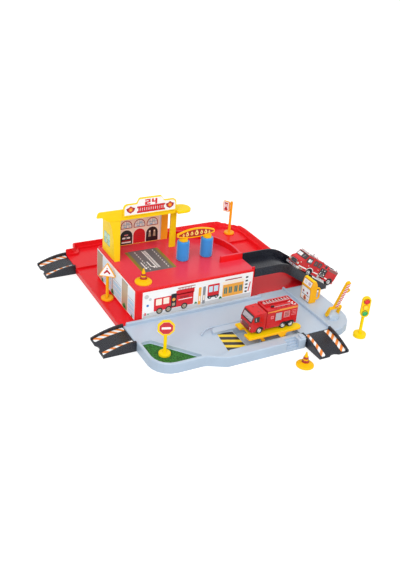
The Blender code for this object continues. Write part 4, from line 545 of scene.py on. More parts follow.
def station_window(wall):
    """An arched window: dark red frame, white panes with a blue tint and grey bars."""
    wall.arch(-9.6, -0.6, 9.6, 12.8, "dark_red", 2)
    wall.arch(-8.3, 0.6, 8.3, 11.6, "white", 3)
    wall.rects(
        (-4.4, 0.6, -3.8, 9.9, "line_blue", 4), (-0.3, 0.6, 0.3, 11.4, "line_blue", 4),
        (3.8, 0.6, 4.4, 9.9, "line_blue", 4), (-8.1, 5.4, 8.1, 6, "line_blue", 5),
        (-3.6, 1, -0.5, 3.4, "sky", 4), (0.6, 6.4, 3.4, 8.4, "sky", 4), (4.6, 1, 7.6, 3, "pale_blue", 4))


def make_station_wall():
    """Three arched windows above three arched doors; the middle door is red and has slats."""
    floor, sill = 61.2, 88.2
    wall = Sticker("station_wall_sticker", plane((0, 138, 0), *FRONT), (0, floor))
    wall.rects((9, 0, 100.4, 49.4, "cream"), (96.6, 0, 98.6, 49.4, "white", 2),
               (98.6, 0, 100.4, 49.4, "pale_grey", 2))
    bays = (42.6, 64, 85.4)
    for u, color in zip(bays, ("black", "red", "black")):
        wall.corner = (u, sill)
        station_window(wall)
        wall.corner = (u, floor)
        wall.arch(-10.3, 0.2, 10.3, 24.4, "white", 2)
        wall.arch(-9.9, 0.2, 9.9, 24, color, 3)
    wall.corner = (bays[0], floor)
    wall.rects(
        (-7.6, 2.6, 7.8, 4.8, "white", 4, 0.8), (-7, 5.2, 7.2, 7.4, "dark_red", 4, 0.8),
        (-3.4, 15.2, 3, 16.8, "rose", 4, 0.6), (-6.6, 9.6, -1.6, 12.4, "white", 4, 1),
        (1.4, 9.6, 6.4, 12.4, "white", 4, 1), (-1.2, 9, 1, 13.6, "grey", 4))
    wall.corner = (bays[1], floor)
    for i in range(5):
        wall.rect(-8.8, 2.6 + i * 3.2, 8.8, 2.9 + i * 3.2, "dark_red", 4)
    wall.corner = (bays[2], floor)
    for u in (-3.9, 3.9):
        wall.shape([(u - 2.1, 7.5), (u + 2.1, 7.5), (u + 1.2, 18.5), (u - 1.2, 18.5)], "tan", 4)
        wall.disc(u, 16.8, 1.3, "cream", 5, 10)
    wall.build()


def make_station_sign():
    """A stepped white board with a number, a ladder and two shields with a flame."""
    low = 132.8
    board = Sticker("station_sign_sticker", plane((0, 89.3, 0), *FRONT), (0, low))
    board.shape([(18.2, 0), (97.8, 0), (97.8, 10.7), (96.2, 13.9), (93.2, 15.3), (81.4, 15.3), (79, 16.3),
                 (76, 21.8), (73.6, 22.6), (42.4, 22.6), (40, 21.8), (37.6, 16.3), (35.6, 15.3),
                 (22.8, 15.3), (19.8, 13.9), (18.2, 10.7)], "white")
    for u in (27.4, 89):
        board.corner = (u, low + 8.2)
        board.shape([(-5, -2.8), (0, -5.8), (5, -2.8), (7, 1.9), (2.8, 3.2), (0, 5.4), (-2.8, 3.2),
                     (-7, 1.9)], "dark_red", 2)
        board.disc(0, -0.2, 3.6, "fire_orange", 3, 14)
        board.disc(0, -0.2, 2.6, "gold", 4, 14)
        flame(board, 0, -0.7, 4, "orange", "yellow", 5)
    board.corner = (0, low)
    for v in (1.6, 9):
        board.rect(37.2, v, 81.4, v + 2.9, "dark_red", 2, 0.8)
        board.rect(37.8, v + 0.6, 80.8, v + 2.3, "red", 3, 0.6)
    for i in range(12):
        u = 39 + i * 3.42
        board.rect(u, 3.6, u + 2.5, 9.8, "red", 4)
        board.rect(u + 1.9, 3.8, u + 2.5, 9.6, "dark_red", 5)
    number(board, "24", 49.6, 12.5, 8.4, "dark_red", 3, 1.62)
    number(board, "24", 49.3, 12.8, 8.4, "red", 4, 1.62)
    board.build()


def make_station_window():
    """Two green windows on the station's left side."""
    side = Sticker("station_window_sticker", plane((5.5, 0, 0), *LEFT))
    for left in (-133.5, -121.5):
        side.corner = (left, 75.4)
        side.rects(
            (0, 0, 9.8, 18.8, "teal_green", 1, 0.6), (1.3, 1.4, 8.5, 17.4, "mint", 2),
            (4.3, 1.4, 5.5, 17.4, "teal_green", 3), (1.3, 8, 8.5, 9.4, "teal_green", 4))
        side.shape([(1.5, 3.6), (3.9, 1.6), (3.9, 5.6), (1.5, 7.6)], "teal_green", 3)
    side.build()


def make_car_wash_sticker():
    """A red arched band with seven drops, on both faces of the car wash sign."""
    half, height = 29, 14.5
    drops = ((-21, 5.6, 1.7), (-14.8, 6.2, 2.6), (-7.4, 6.6, 2.3), (0.6, 6.6, 3.1), (8.6, 6.6, 2.3),
             (15.6, 6.2, 2.6), (21.6, 5.7, 1.6))
    shares = [-1 + i / 6 for i in range(13)]
    for side, name in ((-1, "front"), (1, "back")):
        matrix = plane((122.75, 66.5 + side * 1.6, 93.9), (-side, 0, 0), (0, 0, 1))
        sign = Sticker("car_wash_sticker_" + name, matrix)
        points = [(half * s, 1.5 + 4 * s * s) for s in shares]
        points += [(half * s, height - 1.4 - (height - 8.5) * s * s) for s in reversed(shares)]
        sign.shape(points, "wash_red")
        for u, v, radius in drops:
            sign.disc(u, v, radius, "soft_yellow", 2, 14)
            sign.disc(u - radius * 0.2, v + radius * 0.1, radius * 0.42, "wash_red", 4, 10)
            sign.shape([(u - radius * 0.85, v + radius * 0.5), (u + radius * 0.85, v + radius * 0.5),
                        (u, v + radius * 2)], "soft_yellow", 3)
        sign.build()


# Base and ramps


def make_base_stickers():
    """Black and yellow bars before the lift, and printed turf in the front left pocket."""
    hazard = Sticker("hazard_sticker", plane((0, 0, ROAD_TOP), *TOP))
    outline = [(86, -111.6), (90, -112.4), (103.3, -109.6), (115.2, -106.6), (115.2, -70.2),
               (105.2, -68.6), (92.4, -68.6)]
    hazard.shape(outline, "yellow")
    near, far, slope = 80, 125, -0.39
    fall = slope * (far - near)
    for v in (-61.6, -75.4, -89.2, -103):
        band = [(near, v - 2.8), (far, v - 2.8 + fall), (far, v + 4.6 + fall), (near, v + 4.6)]
        cut = clipped(band, outline)
        if cut:
            hazard.shape(cut, "black", 2)
    hazard.build()

    turf = Sticker("grass_sticker", plane((0, 0, ROAD_TOP), *TOP))
    turf.shape([(-14.6, -55.2), (-14.6, -90), (-13, -97.5), (-9, -104), (-3, -108.3), (4, -110.2),
                (10, -110.5), (44.5, -110.3), (-1.5, -56.2), (-3.5, -54.9), (-12, -54.7)], "turf")
    turf.build()


RAMP_LENGTH = 47
STRIPE_INNER = 13.1
STRIPE_OUTER = 21.2
STRIPE_PITCH = 5.4
STRIPE_SLANT = 7.6
STRIPE_LANES = 4
STRIPE_STEPS = 3


def small_ramp_height(along):
    drop = ROAD_TOP - 0.3 - 1.4
    return ROAD_TOP - 0.3 - drop * (min(max(along, 0), RAMP_LENGTH) / RAMP_LENGTH) ** 1.7


def stripe_block(bm, side, i, lane):
    """One lane of one slanted block, kept between the ramp's two ends and laid on its slope."""
    edges = []
    for share in (lane / STRIPE_LANES, (lane + 1) / STRIPE_LANES):
        across = STRIPE_INNER + (STRIPE_OUTER - STRIPE_INNER) * share
        first = i * STRIPE_PITCH + STRIPE_SLANT * (share if side < 0 else 1 - share)
        edges.append((across * side, max(1.2, first), min(45, first + STRIPE_PITCH)))
    if any(last - first < 0.2 for _, first, last in edges):
        return
    for step in range(STRIPE_STEPS):
        corners = []
        for edge, share in ((0, step), (0, step + 1), (1, step + 1), (1, step)):
            across, first, last = edges[edge]
            along = first + (last - first) * share / STRIPE_STEPS
            corners.append(bm.verts.new((along, across, small_ramp_height(along) + 0.10)))
        bm.faces.new(corners).material_index = i % 2


def make_ramp_stripes(name, place, heading):
    """Orange and white slanted blocks along both sides of a small ramp's road."""
    bm = bmesh.new()
    for side in (-1, 1):
        for i in range(-2, 11):
            for lane in range(STRIPE_LANES):
                stripe_block(bm, side, i, lane)
    bmesh.ops.remove_doubles(bm, verts=bm.verts, dist=0.001)
    bmesh.ops.recalc_face_normals(bm, faces=bm.faces)
    for face in bm.faces:
        if face.normal.z < 0:
            face.normal_flip()
    matrix = DATUM @ Matrix.Translation(Vector(place) * MM) @ Matrix.Rotation(heading, 4, "Z")
    attach(name, bm, ("orange", "white"), matrix, thickness=0.00008, offset=-1)


# Signs, cones, pump and barrier


def sign_plane(place, floor, turn, depth):
    """The front plane of a sign on its post, turned by an angle in degrees; its local front faces -Y."""
    stand = Matrix.Translation(Vector((*place, floor)) * MM) @ Matrix.Rotation(math.radians(turn), 4, "Z")
    return plane((0, depth, 0), *FRONT, stand)


def make_sign_stickers():
    """A red octagon with a bar, a triangle with a chevron and a dot, and a flag with a flame."""
    stop = Sticker("stop_sign_sticker", sign_plane((4, -85.5), ROAD_TOP + 0.3, -18, -2.8))
    turn = math.pi / 8
    for radius, color, layer in ((8.9, "rose", 1), (8.5, "deep_stop", 2)):
        stop.shape([polar(0, 42, radius / math.cos(turn), turn + 2 * turn * i) for i in range(8)],
                   color, layer)
    stop.rect(-6, 40.4, 6, 43.6, "white", 3, 0.6)
    stop.build()

    triangle = Sticker("triangle_sign_sticker", sign_plane((-10, 81), 8.3, -36, -2.6))
    triangle.shape([(-11.1, 38.9), (11.1, 38.9), (0, 58)], "white")
    triangle.shape([(-4.2, 41.6), (0, 45.2), (4.2, 41.6), (4.9, 43.8), (0, 49.6), (-4.9, 43.8)],
                   "deep_red", 2)
    triangle.disc(0, 51.2, 0.9, "deep_red", 2, 10)
    triangle.build()

    flag = Sticker("flag_sign_sticker", sign_plane((272, 214), ROAD_TOP + 0.3, -61, -1.2))
    flag.rects(
        (-15.1, 40, -4.4, 57, "white", 1, 1.2), (-13.2, 53, -6.4, 55.2, "dark_red", 2, 0.4),
        (-12.4, 50.4, -6.4, 51.8, "rose", 2, 0.4), (-13.6, 48, -5.8, 48.6, "rose", 2))
    flame(flag, -9.7, 43.6, 6.4, "rust", "red")
    flag.build()


def make_traffic_lamps():
    """Three lenses, each with a paler spot of painted highlight up and left of its middle, and a ring of painted
    shade round it in a deeper tone of its colour.
    """
    stand = ((290.8, -133), 0, -25)
    shade_rings = Sticker("traffic_lens_painted_shade", sign_plane(*stand, -4.2))
    lenses = Sticker("traffic_lenses", sign_plane(*stand, -5.5))
    # Each lamp: its height, the colour of its ring of painted shade, the lens colour and the colour of its
    # painted highlight.
    lamps = ((40.325, "dark_green", "lamp_green", "green_lens_painted_highlight"), (49.75, "gold", "yellow", "sun"),
             (59.175, "dark_red", "lamp_red", "red_lens_painted_highlight"))
    for v, rim, lens, glow in lamps:
        # Painted shade: a ring in a deeper tone of each lens's colour, standing in for the shade at the edge of
        # the domed lens.
        shade_rings.ring(0, v, 3.75, 4.55, rim, 0, 360, 1, 24, 0.2)
        lenses.disc(0, v, 3.5, lens, 1, 24, 0.1)
        # Painted highlight: a paler spot up and left of each lens's middle.
        lenses.disc(-0.5, v + 0.6, 1.9, glow, 4, 16)
    shade_rings.build()
    lenses.build()


def cone_radius(height):
    """The cone's skirt below its shoulder, and its steeper body above."""
    shoulder = 8
    if height < shoulder:
        return 4 + (shoulder - height) / 3.4
    return 2.2 + 1.8 * (16 - height) / 8


def cone_bands(name, place, floor):
    """Two dark red bands that follow the cone's slope."""
    matrix = DATUM @ Matrix.Translation(Vector((*place, floor)) * MM)
    for i, heights in enumerate(((5.9, 8, 9.3), (11.3, 14))):
        band = revolve([(0.35 + cone_radius(height), height) for height in heights], 28)
        attach("%s_band_%d" % (name, i + 1), band, ["cone_red"], matrix, smooth=True, thickness=0.0004)


def make_pump_sticker():
    """The pump's face print, and a small read-out on the slope above it."""
    pump = Sticker("pump_sticker", plane((262, 0, 0), *LEFT))
    pump.shape([(24.4, 12.6), (43.6, 12.6), (44.7, 20), (44.7, 30.5), (43, 33.4), (24.4, 33.4)], "white")
    for u in (28.9, 38.8):
        pump.disc(u, 26, 1.9, "dark_red", 2, 14)
        pump.disc(u + 0.4, 26.5, 1.1, "rust", 3, 10)
    pump.rect(25.4, 20.6, 42.6, 21.6, "bed_brown", 2)
    flame(pump, 34, 15.9, 7.2, "orange", "rust")
    pump.disc(27.4, 15.4, 0.8, "rose", 2, 10)
    pump.disc(41, 15.4, 0.9, "plum", 2, 10)
    pump.rect(23.8, 11.7, 44, 12.4, "bed_brown", 2)
    pump.shape([(23.7, 33.5), (43.4, 33.5), (45.2, 30.8), (45.2, 20), (45.7, 20), (45.7, 31),
                (43.6, 34.1), (23.7, 34.1)], "bed_brown")
    pump.build()
    lean = Vector((3.5, 0, 12)).normalized()
    head = Sticker("pump_read_out", plane((262, 0, 35.3), (0, -1, 0), lean))
    head.rects(
        (24.8, 2, 43.8, 9.8, "white", 1, 0.6), (24.4, 10, 44.2, 10.7, "rust"), (24.6, 1.2, 43.8, 1.7, "gold"))
    number(head, "95", 27.6, 4.2, 3.6, "pale_grey", 2)
    number(head, "42", 35.6, 3.8, 4.2, "plum", 2)
    head.build()


def make_barrier_print():
    """Red and white slanted blocks on both faces of the barrier arm, in the arm's own frame."""
    pivot = Matrix.Translation((0.272, -0.089, 0.0165)) @ Matrix.Rotation(math.radians(-70), 4, "X")
    outline = [(-3.1, -66.8), (3.1, -66.8), (3.1, -17), (-3.1, -17)]
    for name, sign in (("upper", 1), ("lower", -1)):
        matrix = plane((0, 0, sign * 2.25), (sign, 0, 0), (0, 1, 0), pivot)
        stripe = Sticker("barrier_print_" + name, matrix)
        stripe.shape(outline, "white")
        for i in range(9):
            v = -70 + 6 * i
            cut = clipped([(-3.1, v), (3.1, v + 3), (3.1, v + 6.4), (-3.1, v + 3.4)], outline)
            if cut:
                stripe.shape(cut, "red", 2)
        stripe.build("barrier_arm")


# Fire engine


def make_engine_side(name, side):
    wall = SidePrint("engine_side_" + name, ENGINE_FRAME, 13.5, side)
    wall.shape([(25, 30), (34.5, 30), (37, 29.2), (40, 30), (73.4, 29.8), (73.4, 31.6),
                (42, 31.9), (25, 31.2)], "gold", proud=0.05)
    wall.rect(44, 31.95, 73.4, 32.5, "warm_orange")
    wall.rect(37.8, 14.9, 48.4, 27.6, "dark_red", sunk=0.5, proud=0.1)
    wall.rect(38.4, 15.4, 48, 27.2, "silver", 2, proud=0.15)
    for i in range(8):
        wall.rect(38.8, 16.2 + i * 1.42, 47.6, 16.5 + i * 1.42, "silver_line", 4, proud=0.1)
    wall.rect(52, 17.6, 61.2, 27, "rose", sunk=0.5, proud=0.1)
    wall.rect(52.9, 18.4, 60.3, 26.2, "rust", 3, proud=0.1)
    for i in range(3):
        wall.rect(53.4, 19.6 + i * 2.4, 59.8, 20.1 + i * 2.4, "rose", 5, proud=0.1)
    wall.rects((30.8, 19.6, 35.4, 24, "rose"), (31.6, 20.4, 34.6, 23.2, "red", 2))
    for v in (26.4, 24, 21.6, 19.3):
        wall.rect(64, v, 72.2, v + 0.45, "rose", proud=0.1)
    for v in (27.6, 13):
        wall.rect(26, v, 36, v + 0.3, "dark_red")
    wall.shape([(3.7, 26.8), (5.2, 19.3), (12.7, 19), (12.7, 27.7), (6, 27.7)], "black", 1, 0.45, 0.05)
    wall.shape([(6.9, 21), (8.3, 21), (7.6, 26), (6.3, 26)], "lens_grey", 3)
    for centre in (14.5, 52.5, 65):
        wall.ring(centre, 5, 5.04, 6.3, "black", 8, 158, 1, 10)
    wall.rects((52.5, 6.5, 65, 10.9, "black"), (13.6, 8, 13.9, 29.5, "dark_red"),
               (20.4, 8, 20.7, 29.5, "dark_red"))
    wall.rect(14.6, 17.4, 17, 18.1, "black", proud=0.2)
    wall.build("lift_platform")


def make_engine_front():
    """The windscreen with its wipers, and below it the grille, bumper and lamps."""
    lean = Vector((5, 0, 13)).normalized()
    screen = Sticker("engine_windscreen", plane((0, 0, 18), (0, -1, 0), lean, ENGINE_FRAME))
    screen.rect(-12.6, 0.9, 12.6, 12.2, "black", 1, 0.8, 0.7, 0.05)
    screen.rect(-11.2, 2.8, 11.2, 10, "lens_grey", 3, 0.5)
    for i in range(7):
        u = -10.2 + i * 2.9
        screen.shape([(u, 3), (u + 0.9, 3), (u + 1.7, 9.8), (u + 0.8, 9.8)], "silver", 4)
    screen.line((-6, 2.8), (0.8, 5.6), 0.35, "black", 5)
    screen.line((2, 2.8), (8.8, 5.6), 0.35, "black", 5)
    screen.build("lift_platform")

    rise = Vector((-0.6, 0, 13.5)).normalized()
    face = Sticker("engine_front_face", plane((0.6, 0, 4.5), (0, -1, 0), rise, ENGINE_FRAME))
    face.rect(-9.6, 4, 8.2, 10.4, "rust", radius=0.6, proud=0.1)
    for i in range(3):
        face.rect(-8.8, 5.2 + i * 1.8, 7.4, 5.8 + i * 1.8, "black", 3, proud=0.05)
    face.rect(-12.9, 0.8, 12.9, 2.8, "dark_red", radius=0.5, proud=0.25)
    for u, lamp in ((-11.2, -10.6), (11.2, 10.6)):
        face.disc(u, 6.8, 1.2, "silver", 1, 16, 0.2)
        face.disc(u, 6.8, 0.8, "white", 6, 12)
        face.disc(lamp, 3.8, 0.7, "pink_grey", 1, 12, 0.2)
    face.build("lift_platform")


def make_engine_roof():
    """White rungs on the ladder, a monitor pipe beside it, couplings at the rear and lamps on the cab."""
    roof = Sticker("engine_roof_gear", plane((0, 0, 32.8), *TOP, ENGINE_FRAME))
    for i in range(9):
        u = 30.5 + 4.8 * i
        roof.rect(u - 0.5, 0.6, u + 0.4, 9.3, "white", proud=2.35)
    for v in (0.5, 9.5):
        roof.rect(28.2, v - 0.35, 70.4, v + 0.35, "rose", proud=3.35)
    roof.rect(34.4, -6.2, 39.4, -4.2, "black", radius=0.6, proud=2)
    roof.rect(39.4, -5.9, 66, -4.5, "red", radius=0.6, proud=1.9)
    roof.rect(38.8, -7.5, 64, -7, "pink_grey", proud=1.2)
    roof.rect(36, -10.9, 66, -9.6, "red", radius=0.5, proud=1.6)
    for i in range(4):
        roof.rect(39 + i * 8, -11.4, 40.2 + i * 8, -9.1, "dark_red", proud=2)
    for u, v in ((66.4, -1.6), (69, -4.6), (66.8, -8), (69.6, -10.8)):
        roof.rect(u, v - 0.9, u + 1.3, v + 0.9, "white", radius=0.4, proud=1.5)
        roof.rect(u - 2.2, v - 0.3, u + 0.1, v + 0.3, "pink_grey", proud=1.2)
    roof.build("lift_platform")
    slope = Vector((18.5, 0, 1)).normalized()
    cab = Sticker("engine_cab_lamps", plane((5, 0, 31), slope, (0, 1, 0), ENGINE_FRAME))
    for v in (7.4, -6.6):
        cab.disc(9.4, v, 1.1, "dark_red", 1, 14, 0.35)
        cab.disc(9.4, v, 0.6, "rust", 7, 10, 0.2)
    cab.rect(14.5, -9, 15.3, 9, "dark_red")
    cab.build("lift_platform")


def make_hubs():
    """A white dished cap with a boss and a ring of nuts on every wheel."""
    wheels = [("engine_axle_%d" % (i + 1), ENGINE_FRAME, x, 5, 12.25, 2.65, 0.275)
              for i, x in enumerate((14.5, 52.5, 65))]
    wheels += [("pumper_axle_%d" % (i + 1), PUMPER_FRAME, x, 0, 11.85, 3, 0.33)
               for i, x in enumerate((-50, 0))]
    for body, base, x, z, half, rim, nut in wheels:
        profile = [(rim, 0), (rim, 0.85), (rim * 0.88, 0.95), (rim * 0.72, 0.45), (rim * 0.45, 0.40),
                   (rim * 0.40, 0.80), (rim * 0.22, 0.92), (0, 0.92)]
        for name, side in SIDES:
            matrix = plane((x, side * half, z), (-side, 0, 0), (0, 0, 1), base)
            attach("%s_cap_%s" % (body, name), revolve(profile, 28), ["cap_white"], matrix, body, smooth=True)
            nuts = Sticker("%s_nuts_%s" % (body, name), matrix)
            for i in range(6):
                nuts.disc(*polar(0, 0, rim * 0.59, math.pi / 3 * i), nut, "grey", 1, 8, 0.55)
            nuts.build(body)


# Pumper


def make_pumper_side(name, side):
    wall = SidePrint("pumper_side_" + name, PUMPER_FRAME, 13, side)
    wall.rects(
        (-76.6, 2.9, -58.6, 4.7, "white"), (-41.6, 3.3, -30.6, 5, "white"), (-13.6, 2.6, -7.4, 4.2, "white"),
        (7.3, 2.4, 8.3, 3.8, "white"), (-73, -0.7, -66, 1.6, "tan"),
        (-72.4, -0.25, -66.6, 0.05, "bed_brown", 2), (-72.4, 0.65, -66.6, 0.95, "bed_brown", 2))
    wall.rect(-76.5, 9.6, -75.1, 11, "cream", proud=0.1)
    wall.ring(-50, 0, 7.626, 8.61, "white", 22, 166, 3, 12)
    wall.ring(-50, 0, 6.068, 7.626, "black", 22, 166, 2, 12)
    wall.ring(0, 0, 6.2, 7.2, "black", 8, 173, 2, 11)
    for u in (-58.3, -35.4):
        wall.rect(u, 9.6, u + 1.4, 10.5, "white", proud=0.15)
    wall.rect(-14.2, 16.3, 8.2, 19.6, "bed_brown")
    for i in range(6):
        wall.rect(-13.6 + i * 3.7, 16.8, -12 + i * 3.7, 19.2, "rust", 2)
    for u, low, high in ((-12.6, 6, 15.2), (-5.6, 8.4, 15.2), (1.4, 8.4, 15.2), (-42.9, 5.6, 21.8),
                         (-31.8, 5.6, 21.8)):
        wall.rect(u, low, u + 0.3, high, "dark_red")
    wall.build()

    glass = SidePrint("pumper_glass_" + name, PUMPER_FRAME, 13, side)
    glass.shape([(-66.2, 13.3), (-54.8, 13.3), (-54.8, 22.4), (-65.4, 22.4), (-67.2, 17)], "black", 1, 0.45,
                0.03)
    glass.shape([(-64.3, 14.8), (-56.2, 14.8), (-56.2, 20.4), (-64.1, 20.4)], "silver_line", 3)
    for a, b in ((-49.5, -42.3), (-40.2, -33.6)):
        glass.rect(a - 0.5, 13.5, b + 0.5, 21.8, "black", sunk=0.45, proud=0.03)
        glass.shape([(a + 0.7, 14.8), (b - 0.7, 14.8), (b - 0.7, 20.4), (a + 0.9, 20.4)], "glass", 3)
    glass.shape([(-64.1, 15.4), (-60.4, 15), (-59.6, 18.4), (-61.6, 20.2), (-63.6, 19.8)], "white", 4)
    glass.shape([(-59.2, 16.4), (-56.8, 16), (-56.6, 19.6), (-58.6, 20)], "pale_blue", 4)
    for a in (-47.8, -38.4):
        glass.shape([(a, 15.4), (a + 1.4, 15.4), (a + 2.6, 20), (a + 1.2, 20)], "rust", 4)
    glass.build()

    panel = SidePrint("pumper_panel_" + name, PUMPER_FRAME, 12.4, side)
    for u, v, color in ((-26.7, 8.5, "white"), (-26.7, 13.5, "silver"), (-20.7, 8.5, "silver"),
                        (-20.7, 13.5, "white")):
        panel.disc(u, v, 0.95, color, 1, 12, 0.85)
    for u, v, color in ((-28.4, 5.2, "cream"), (-23.6, 4.6, "silver"), (-18.6, 5.6, "cream"),
                        (-28.2, 19.6, "silver"), (-17, 18, "dark_red")):
        panel.rect(u, v, u + 1.7, v + 1.5, color, proud=0.5)
    panel.rect(-29.3, 2.8, -15.1, 3.5, "silver", proud=0.4)
    panel.rect(-29.6, 16.4, -14.8, 22.4, "red", proud=0.5)
    panel.rect(-24.6, 17.6, -19.4, 22, "black", proud=0.7)
    panel.build()

    step = SidePrint("pumper_step_" + name, PUMPER_FRAME, 12.2, side)
    step.rect(-28, -1.9, -10, -0.9, "white", sunk=6.2, proud=0.6)
    step.rect(-31, -2.4, -8, -1.95, "black", sunk=6.2, proud=0.2)
    step.build()


def make_pumper_front():
    """The grille and lamps, the bumper with two red blocks, and the two-part windscreen."""
    nose = Sticker("pumper_front_face", plane((-78, 0, 0), *LEFT, PUMPER_FRAME))
    nose.rect(-7, 3.4, 6.2, 10.2, "lens_grey", radius=0.6, proud=0.1)
    nose.rect(-6.6, 3.8, 5.8, 9.8, "black", 3, radius=0.4, proud=0.05)
    for i in range(4):
        nose.rect(-6, 4.7 + i * 1.2, 5.2, 4.9 + i * 1.2, "grey", 4, proud=0.1)
    for side in (-1, 1):
        nose.rect(side * 7.2, 4.4, side * 12.2, 8.8, "gold_brown", radius=0.5, proud=0.1)
        nose.disc(side * 11, 6.4, 1.3, "white", 4, 14, 0.2)
        nose.disc(side * 8.5, 6.4, 1.1, "silver", 4, 14, 0.2)
    nose.build()
    bumper = Sticker("pumper_bumper_face", plane((-80.2, 0, 0), *LEFT, PUMPER_FRAME))
    bumper.rects(
        (-12.6, -1.3, 12.6, 1.9, "silver", 1, 0.4), (-12.2, 0, 12.2, 0.5, "grey", 2),
        (-5.2, -0.9, -2.8, 1.5, "dark_red", 3, 0.3), (2.8, -0.9, 5.2, 1.5, "dark_red", 3, 0.3))
    bumper.build()
    lean = Vector((3.4, 0, 8.9)).normalized()
    screen = Sticker("pumper_windscreen", plane((-70.2, 0, 15.8), (0, -1, 0), lean, PUMPER_FRAME))
    screen.rects(
        (-12.7, 0.3, 12.7, 8.6, "black", 1, 0.6, 0.75, 0.05), (-11.4, 1.5, -0.6, 7.1, "white", 3),
        (0.6, 1.5, 11.4, 7.1, "glass", 3))
    screen.shape([(-9, 1.6), (-6.4, 1.6), (-4.4, 7), (-7, 7)], "ice", 4)
    screen.shape([(3, 1.6), (4.6, 1.6), (6.6, 7), (5, 7)], "silver_line", 4)
    screen.build()


def make_pumper_roof():
    """The cab's roof panels, the light bar's lenses, the hose bed's rails and four lamps."""
    roof = Sticker("pumper_roof_gear", plane((0, 0, 24.7), *TOP, PUMPER_FRAME))
    roof.rect(-63.4, -11.8, -44.5, 11.8, "black", radius=0.8, proud=0.1)
    for i in range(4):
        roof.rect(-62.6 + i * 4.6, -11, -60 + i * 4.6, 11.2, "bed_brown", 3, proud=0.15)
    roof.rect(-62.8, 11.6, -45.8, 12.4, "silver", proud=0.5)
    roof.rect(-44.2, -9, -43.2, 9, "dark_red")
    roof.build()
    bar = Sticker("pumper_bar_lenses", plane((0, 0, 25), *TOP, PUMPER_FRAME))
    for v, color in ((-7.6, "dark_red"), (-3.8, "rose"), (0, "silver"), (3.8, "rose"), (7.6, "dark_red")):
        bar.rect(-67.6, v - 1.5, -64.4, v + 1.5, color, radius=0.3, proud=2.25)
    bar.build()
    rails = Sticker("pumper_bed_rails", plane((0, 0, 20), *TOP, PUMPER_FRAME))
    for v in (-12, 11.4):
        rails.rect(-14, v, 8, v + 0.6, "silver", proud=0.9)
        for u in (-13.2, -6.4, 0.4, 6.8):
            rails.rect(u, v - 0.2, u + 0.7, v + 0.8, "grey", proud=0.7)
    rails.build()
    profile = [(0.5, 0), (0.5, 1), (1.15, 1.3), (1.35, 1.9), (1.2, 2.6), (0.7, 3), (0, 3.1)]
    places = ((-36.5, 10.4, 24.6), (-26, 10.4, 22.4), (-9, 11, 19.9), (5, -10.6, 19.9))
    for i, place in enumerate(places):
        attach("pumper_lamp_%d" % (i + 1), revolve(profile, 16), ["lens_grey"],
               plane(place, *TOP, PUMPER_FRAME), smooth=True)


make_left_sticker()
make_front_sticker()
make_deck_sticker()
make_station_wall()
make_station_sign()
make_station_window()
make_car_wash_sticker()
make_base_stickers()
make_ramp_stripes("ramp_front_left_stripes", (-20.3, -25.8, 0), math.pi)
make_ramp_stripes("ramp_rear_left_stripes", (-22.3, 207.5, 0), math.pi)
make_ramp_stripes("ramp_front_right_stripes", (225.5, -114.3, 0), -math.pi / 2)
make_sign_stickers()
make_traffic_lamps()
cone_bands("cone_deck", (20, 22.5), DECK_TOP + 0.3)
cone_bands("cone_front", (174.5, -164), 0)
make_pump_sticker()
make_barrier_print()
for near_or_far in SIDES:
    make_engine_side(*near_or_far)
make_engine_front()
make_engine_roof()
for near_or_far in SIDES:
    make_pumper_side(*near_or_far)
make_pumper_front()
make_pumper_roof()
make_hubs()


# Floor, light and camera


FLOOR_GREY = 0.65
FLOOR_GLOW = 0.55
SKY_LEVEL = 0.74
SUNS = (("key", 52.0, -48.0, 1.3, 35.0), ("fill", 68.0, 28.0, 0.75, 60.0))
PICTURE_HEIGHT = 570.0
FOCAL_PIXELS = 749.3
SENSOR = 36.0


def plain_view(tree):
    """One for the camera and for rays from gloss or clear pieces, and nought for all other light."""
    path = node(tree, "ShaderNodeLightPath")
    seen = path.outputs["Is Camera Ray"]
    for ray in ("Is Glossy Ray", "Is Transmission Ray"):
        either = node(tree, "ShaderNodeMath", operation="MAXIMUM")
        tree.links.new(seen, either.inputs[0])
        tree.links.new(path.outputs[ray], either.inputs[1])
        seen = either.outputs[0]
    return seen


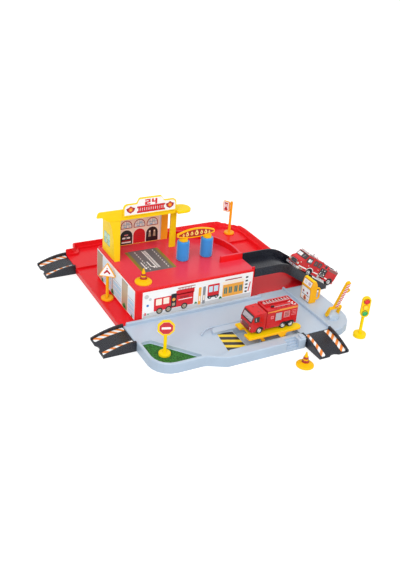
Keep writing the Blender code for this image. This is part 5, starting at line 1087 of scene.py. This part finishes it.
def make_floor():
    """A pale floor that keeps the shadow and looks white."""
    bm = bmesh.new()
    bmesh.ops.create_grid(bm, x_segments=1, y_segments=1, size=12.0)
    mesh = bpy.data.meshes.new("floor")
    bm.to_mesh(mesh)
    bm.free()
    floor = added("floor", mesh)
    floor.location.z = -0.0002
    material = bpy.data.materials.new("pale_floor")
    material.use_nodes = True
    tree = material.node_tree
    shader = preset(tree.nodes["Principled BSDF"], {
        "Base Color": (FLOOR_GREY, FLOOR_GREY, FLOOR_GREY, 1.0), "Roughness": 0.9, "Specular IOR Level": 0.1,
        "Emission Color": (1.0, 1.0, 1.0, 1.0)})
    glow = node(tree, "ShaderNodeMath", operation="MULTIPLY")
    glow.inputs[1].default_value = FLOOR_GLOW
    tree.links.new(plain_view(tree), glow.inputs[0])
    tree.links.new(glow.outputs[0], shader.inputs["Emission Strength"])
    mesh.materials.append(material)


def make_light():
    """A soft sky that looks white, and two broad suns."""
    world = bpy.data.worlds.new("studio")
    world.use_nodes = True
    tree = world.node_tree
    background = preset(tree.nodes["Background"], {"Color": (1.0, 1.0, 1.0, 1.0)})
    level = preset(node(tree, "ShaderNodeMapRange"), {"To Min": SKY_LEVEL, "To Max": 1.0})
    tree.links.new(plain_view(tree), level.inputs["Value"])
    tree.links.new(level.outputs["Result"], background.inputs["Strength"])
    bpy.context.scene.world = world

    for name, tilt, heading, strength, angle in SUNS:
        lamp = bpy.data.lights.new(name, "SUN")
        lamp.energy = strength
        lamp.angle = math.radians(angle)
        added(name, lamp).rotation_euler = (math.radians(tilt), 0.0, math.radians(heading))


def make_camera():
    """The photograph's viewpoint: 30 degrees to the left of the front and 29 above."""
    azimuth, elevation, roll = (math.radians(a) for a in (-29.944, 28.833, 4.506))
    ahead = Vector((-math.sin(azimuth) * math.cos(elevation), math.cos(azimuth) * math.cos(elevation),
                    -math.sin(elevation)))
    level = Vector((math.cos(azimuth), math.sin(azimuth), 0.0))
    above = level.cross(ahead)
    right = level * math.cos(roll) + above * math.sin(roll)
    up = above * math.cos(roll) - level * math.sin(roll)
    camera = bpy.data.cameras.new("camera")
    camera.sensor_width = SENSOR
    camera.lens = FOCAL_PIXELS / PICTURE_HEIGHT * SENSOR
    camera.clip_start = 0.01
    camera.clip_end = 50.0
    obj = added("camera", camera)
    obj.matrix_world = from_axes(right, up, -ahead, DATUM @ Vector((-0.36779, -0.80924, 0.56596)))
    bpy.context.scene.camera = obj


make_floor()
make_light()
make_camera()
bpy.context.scene.view_settings.view_transform = "Standard"
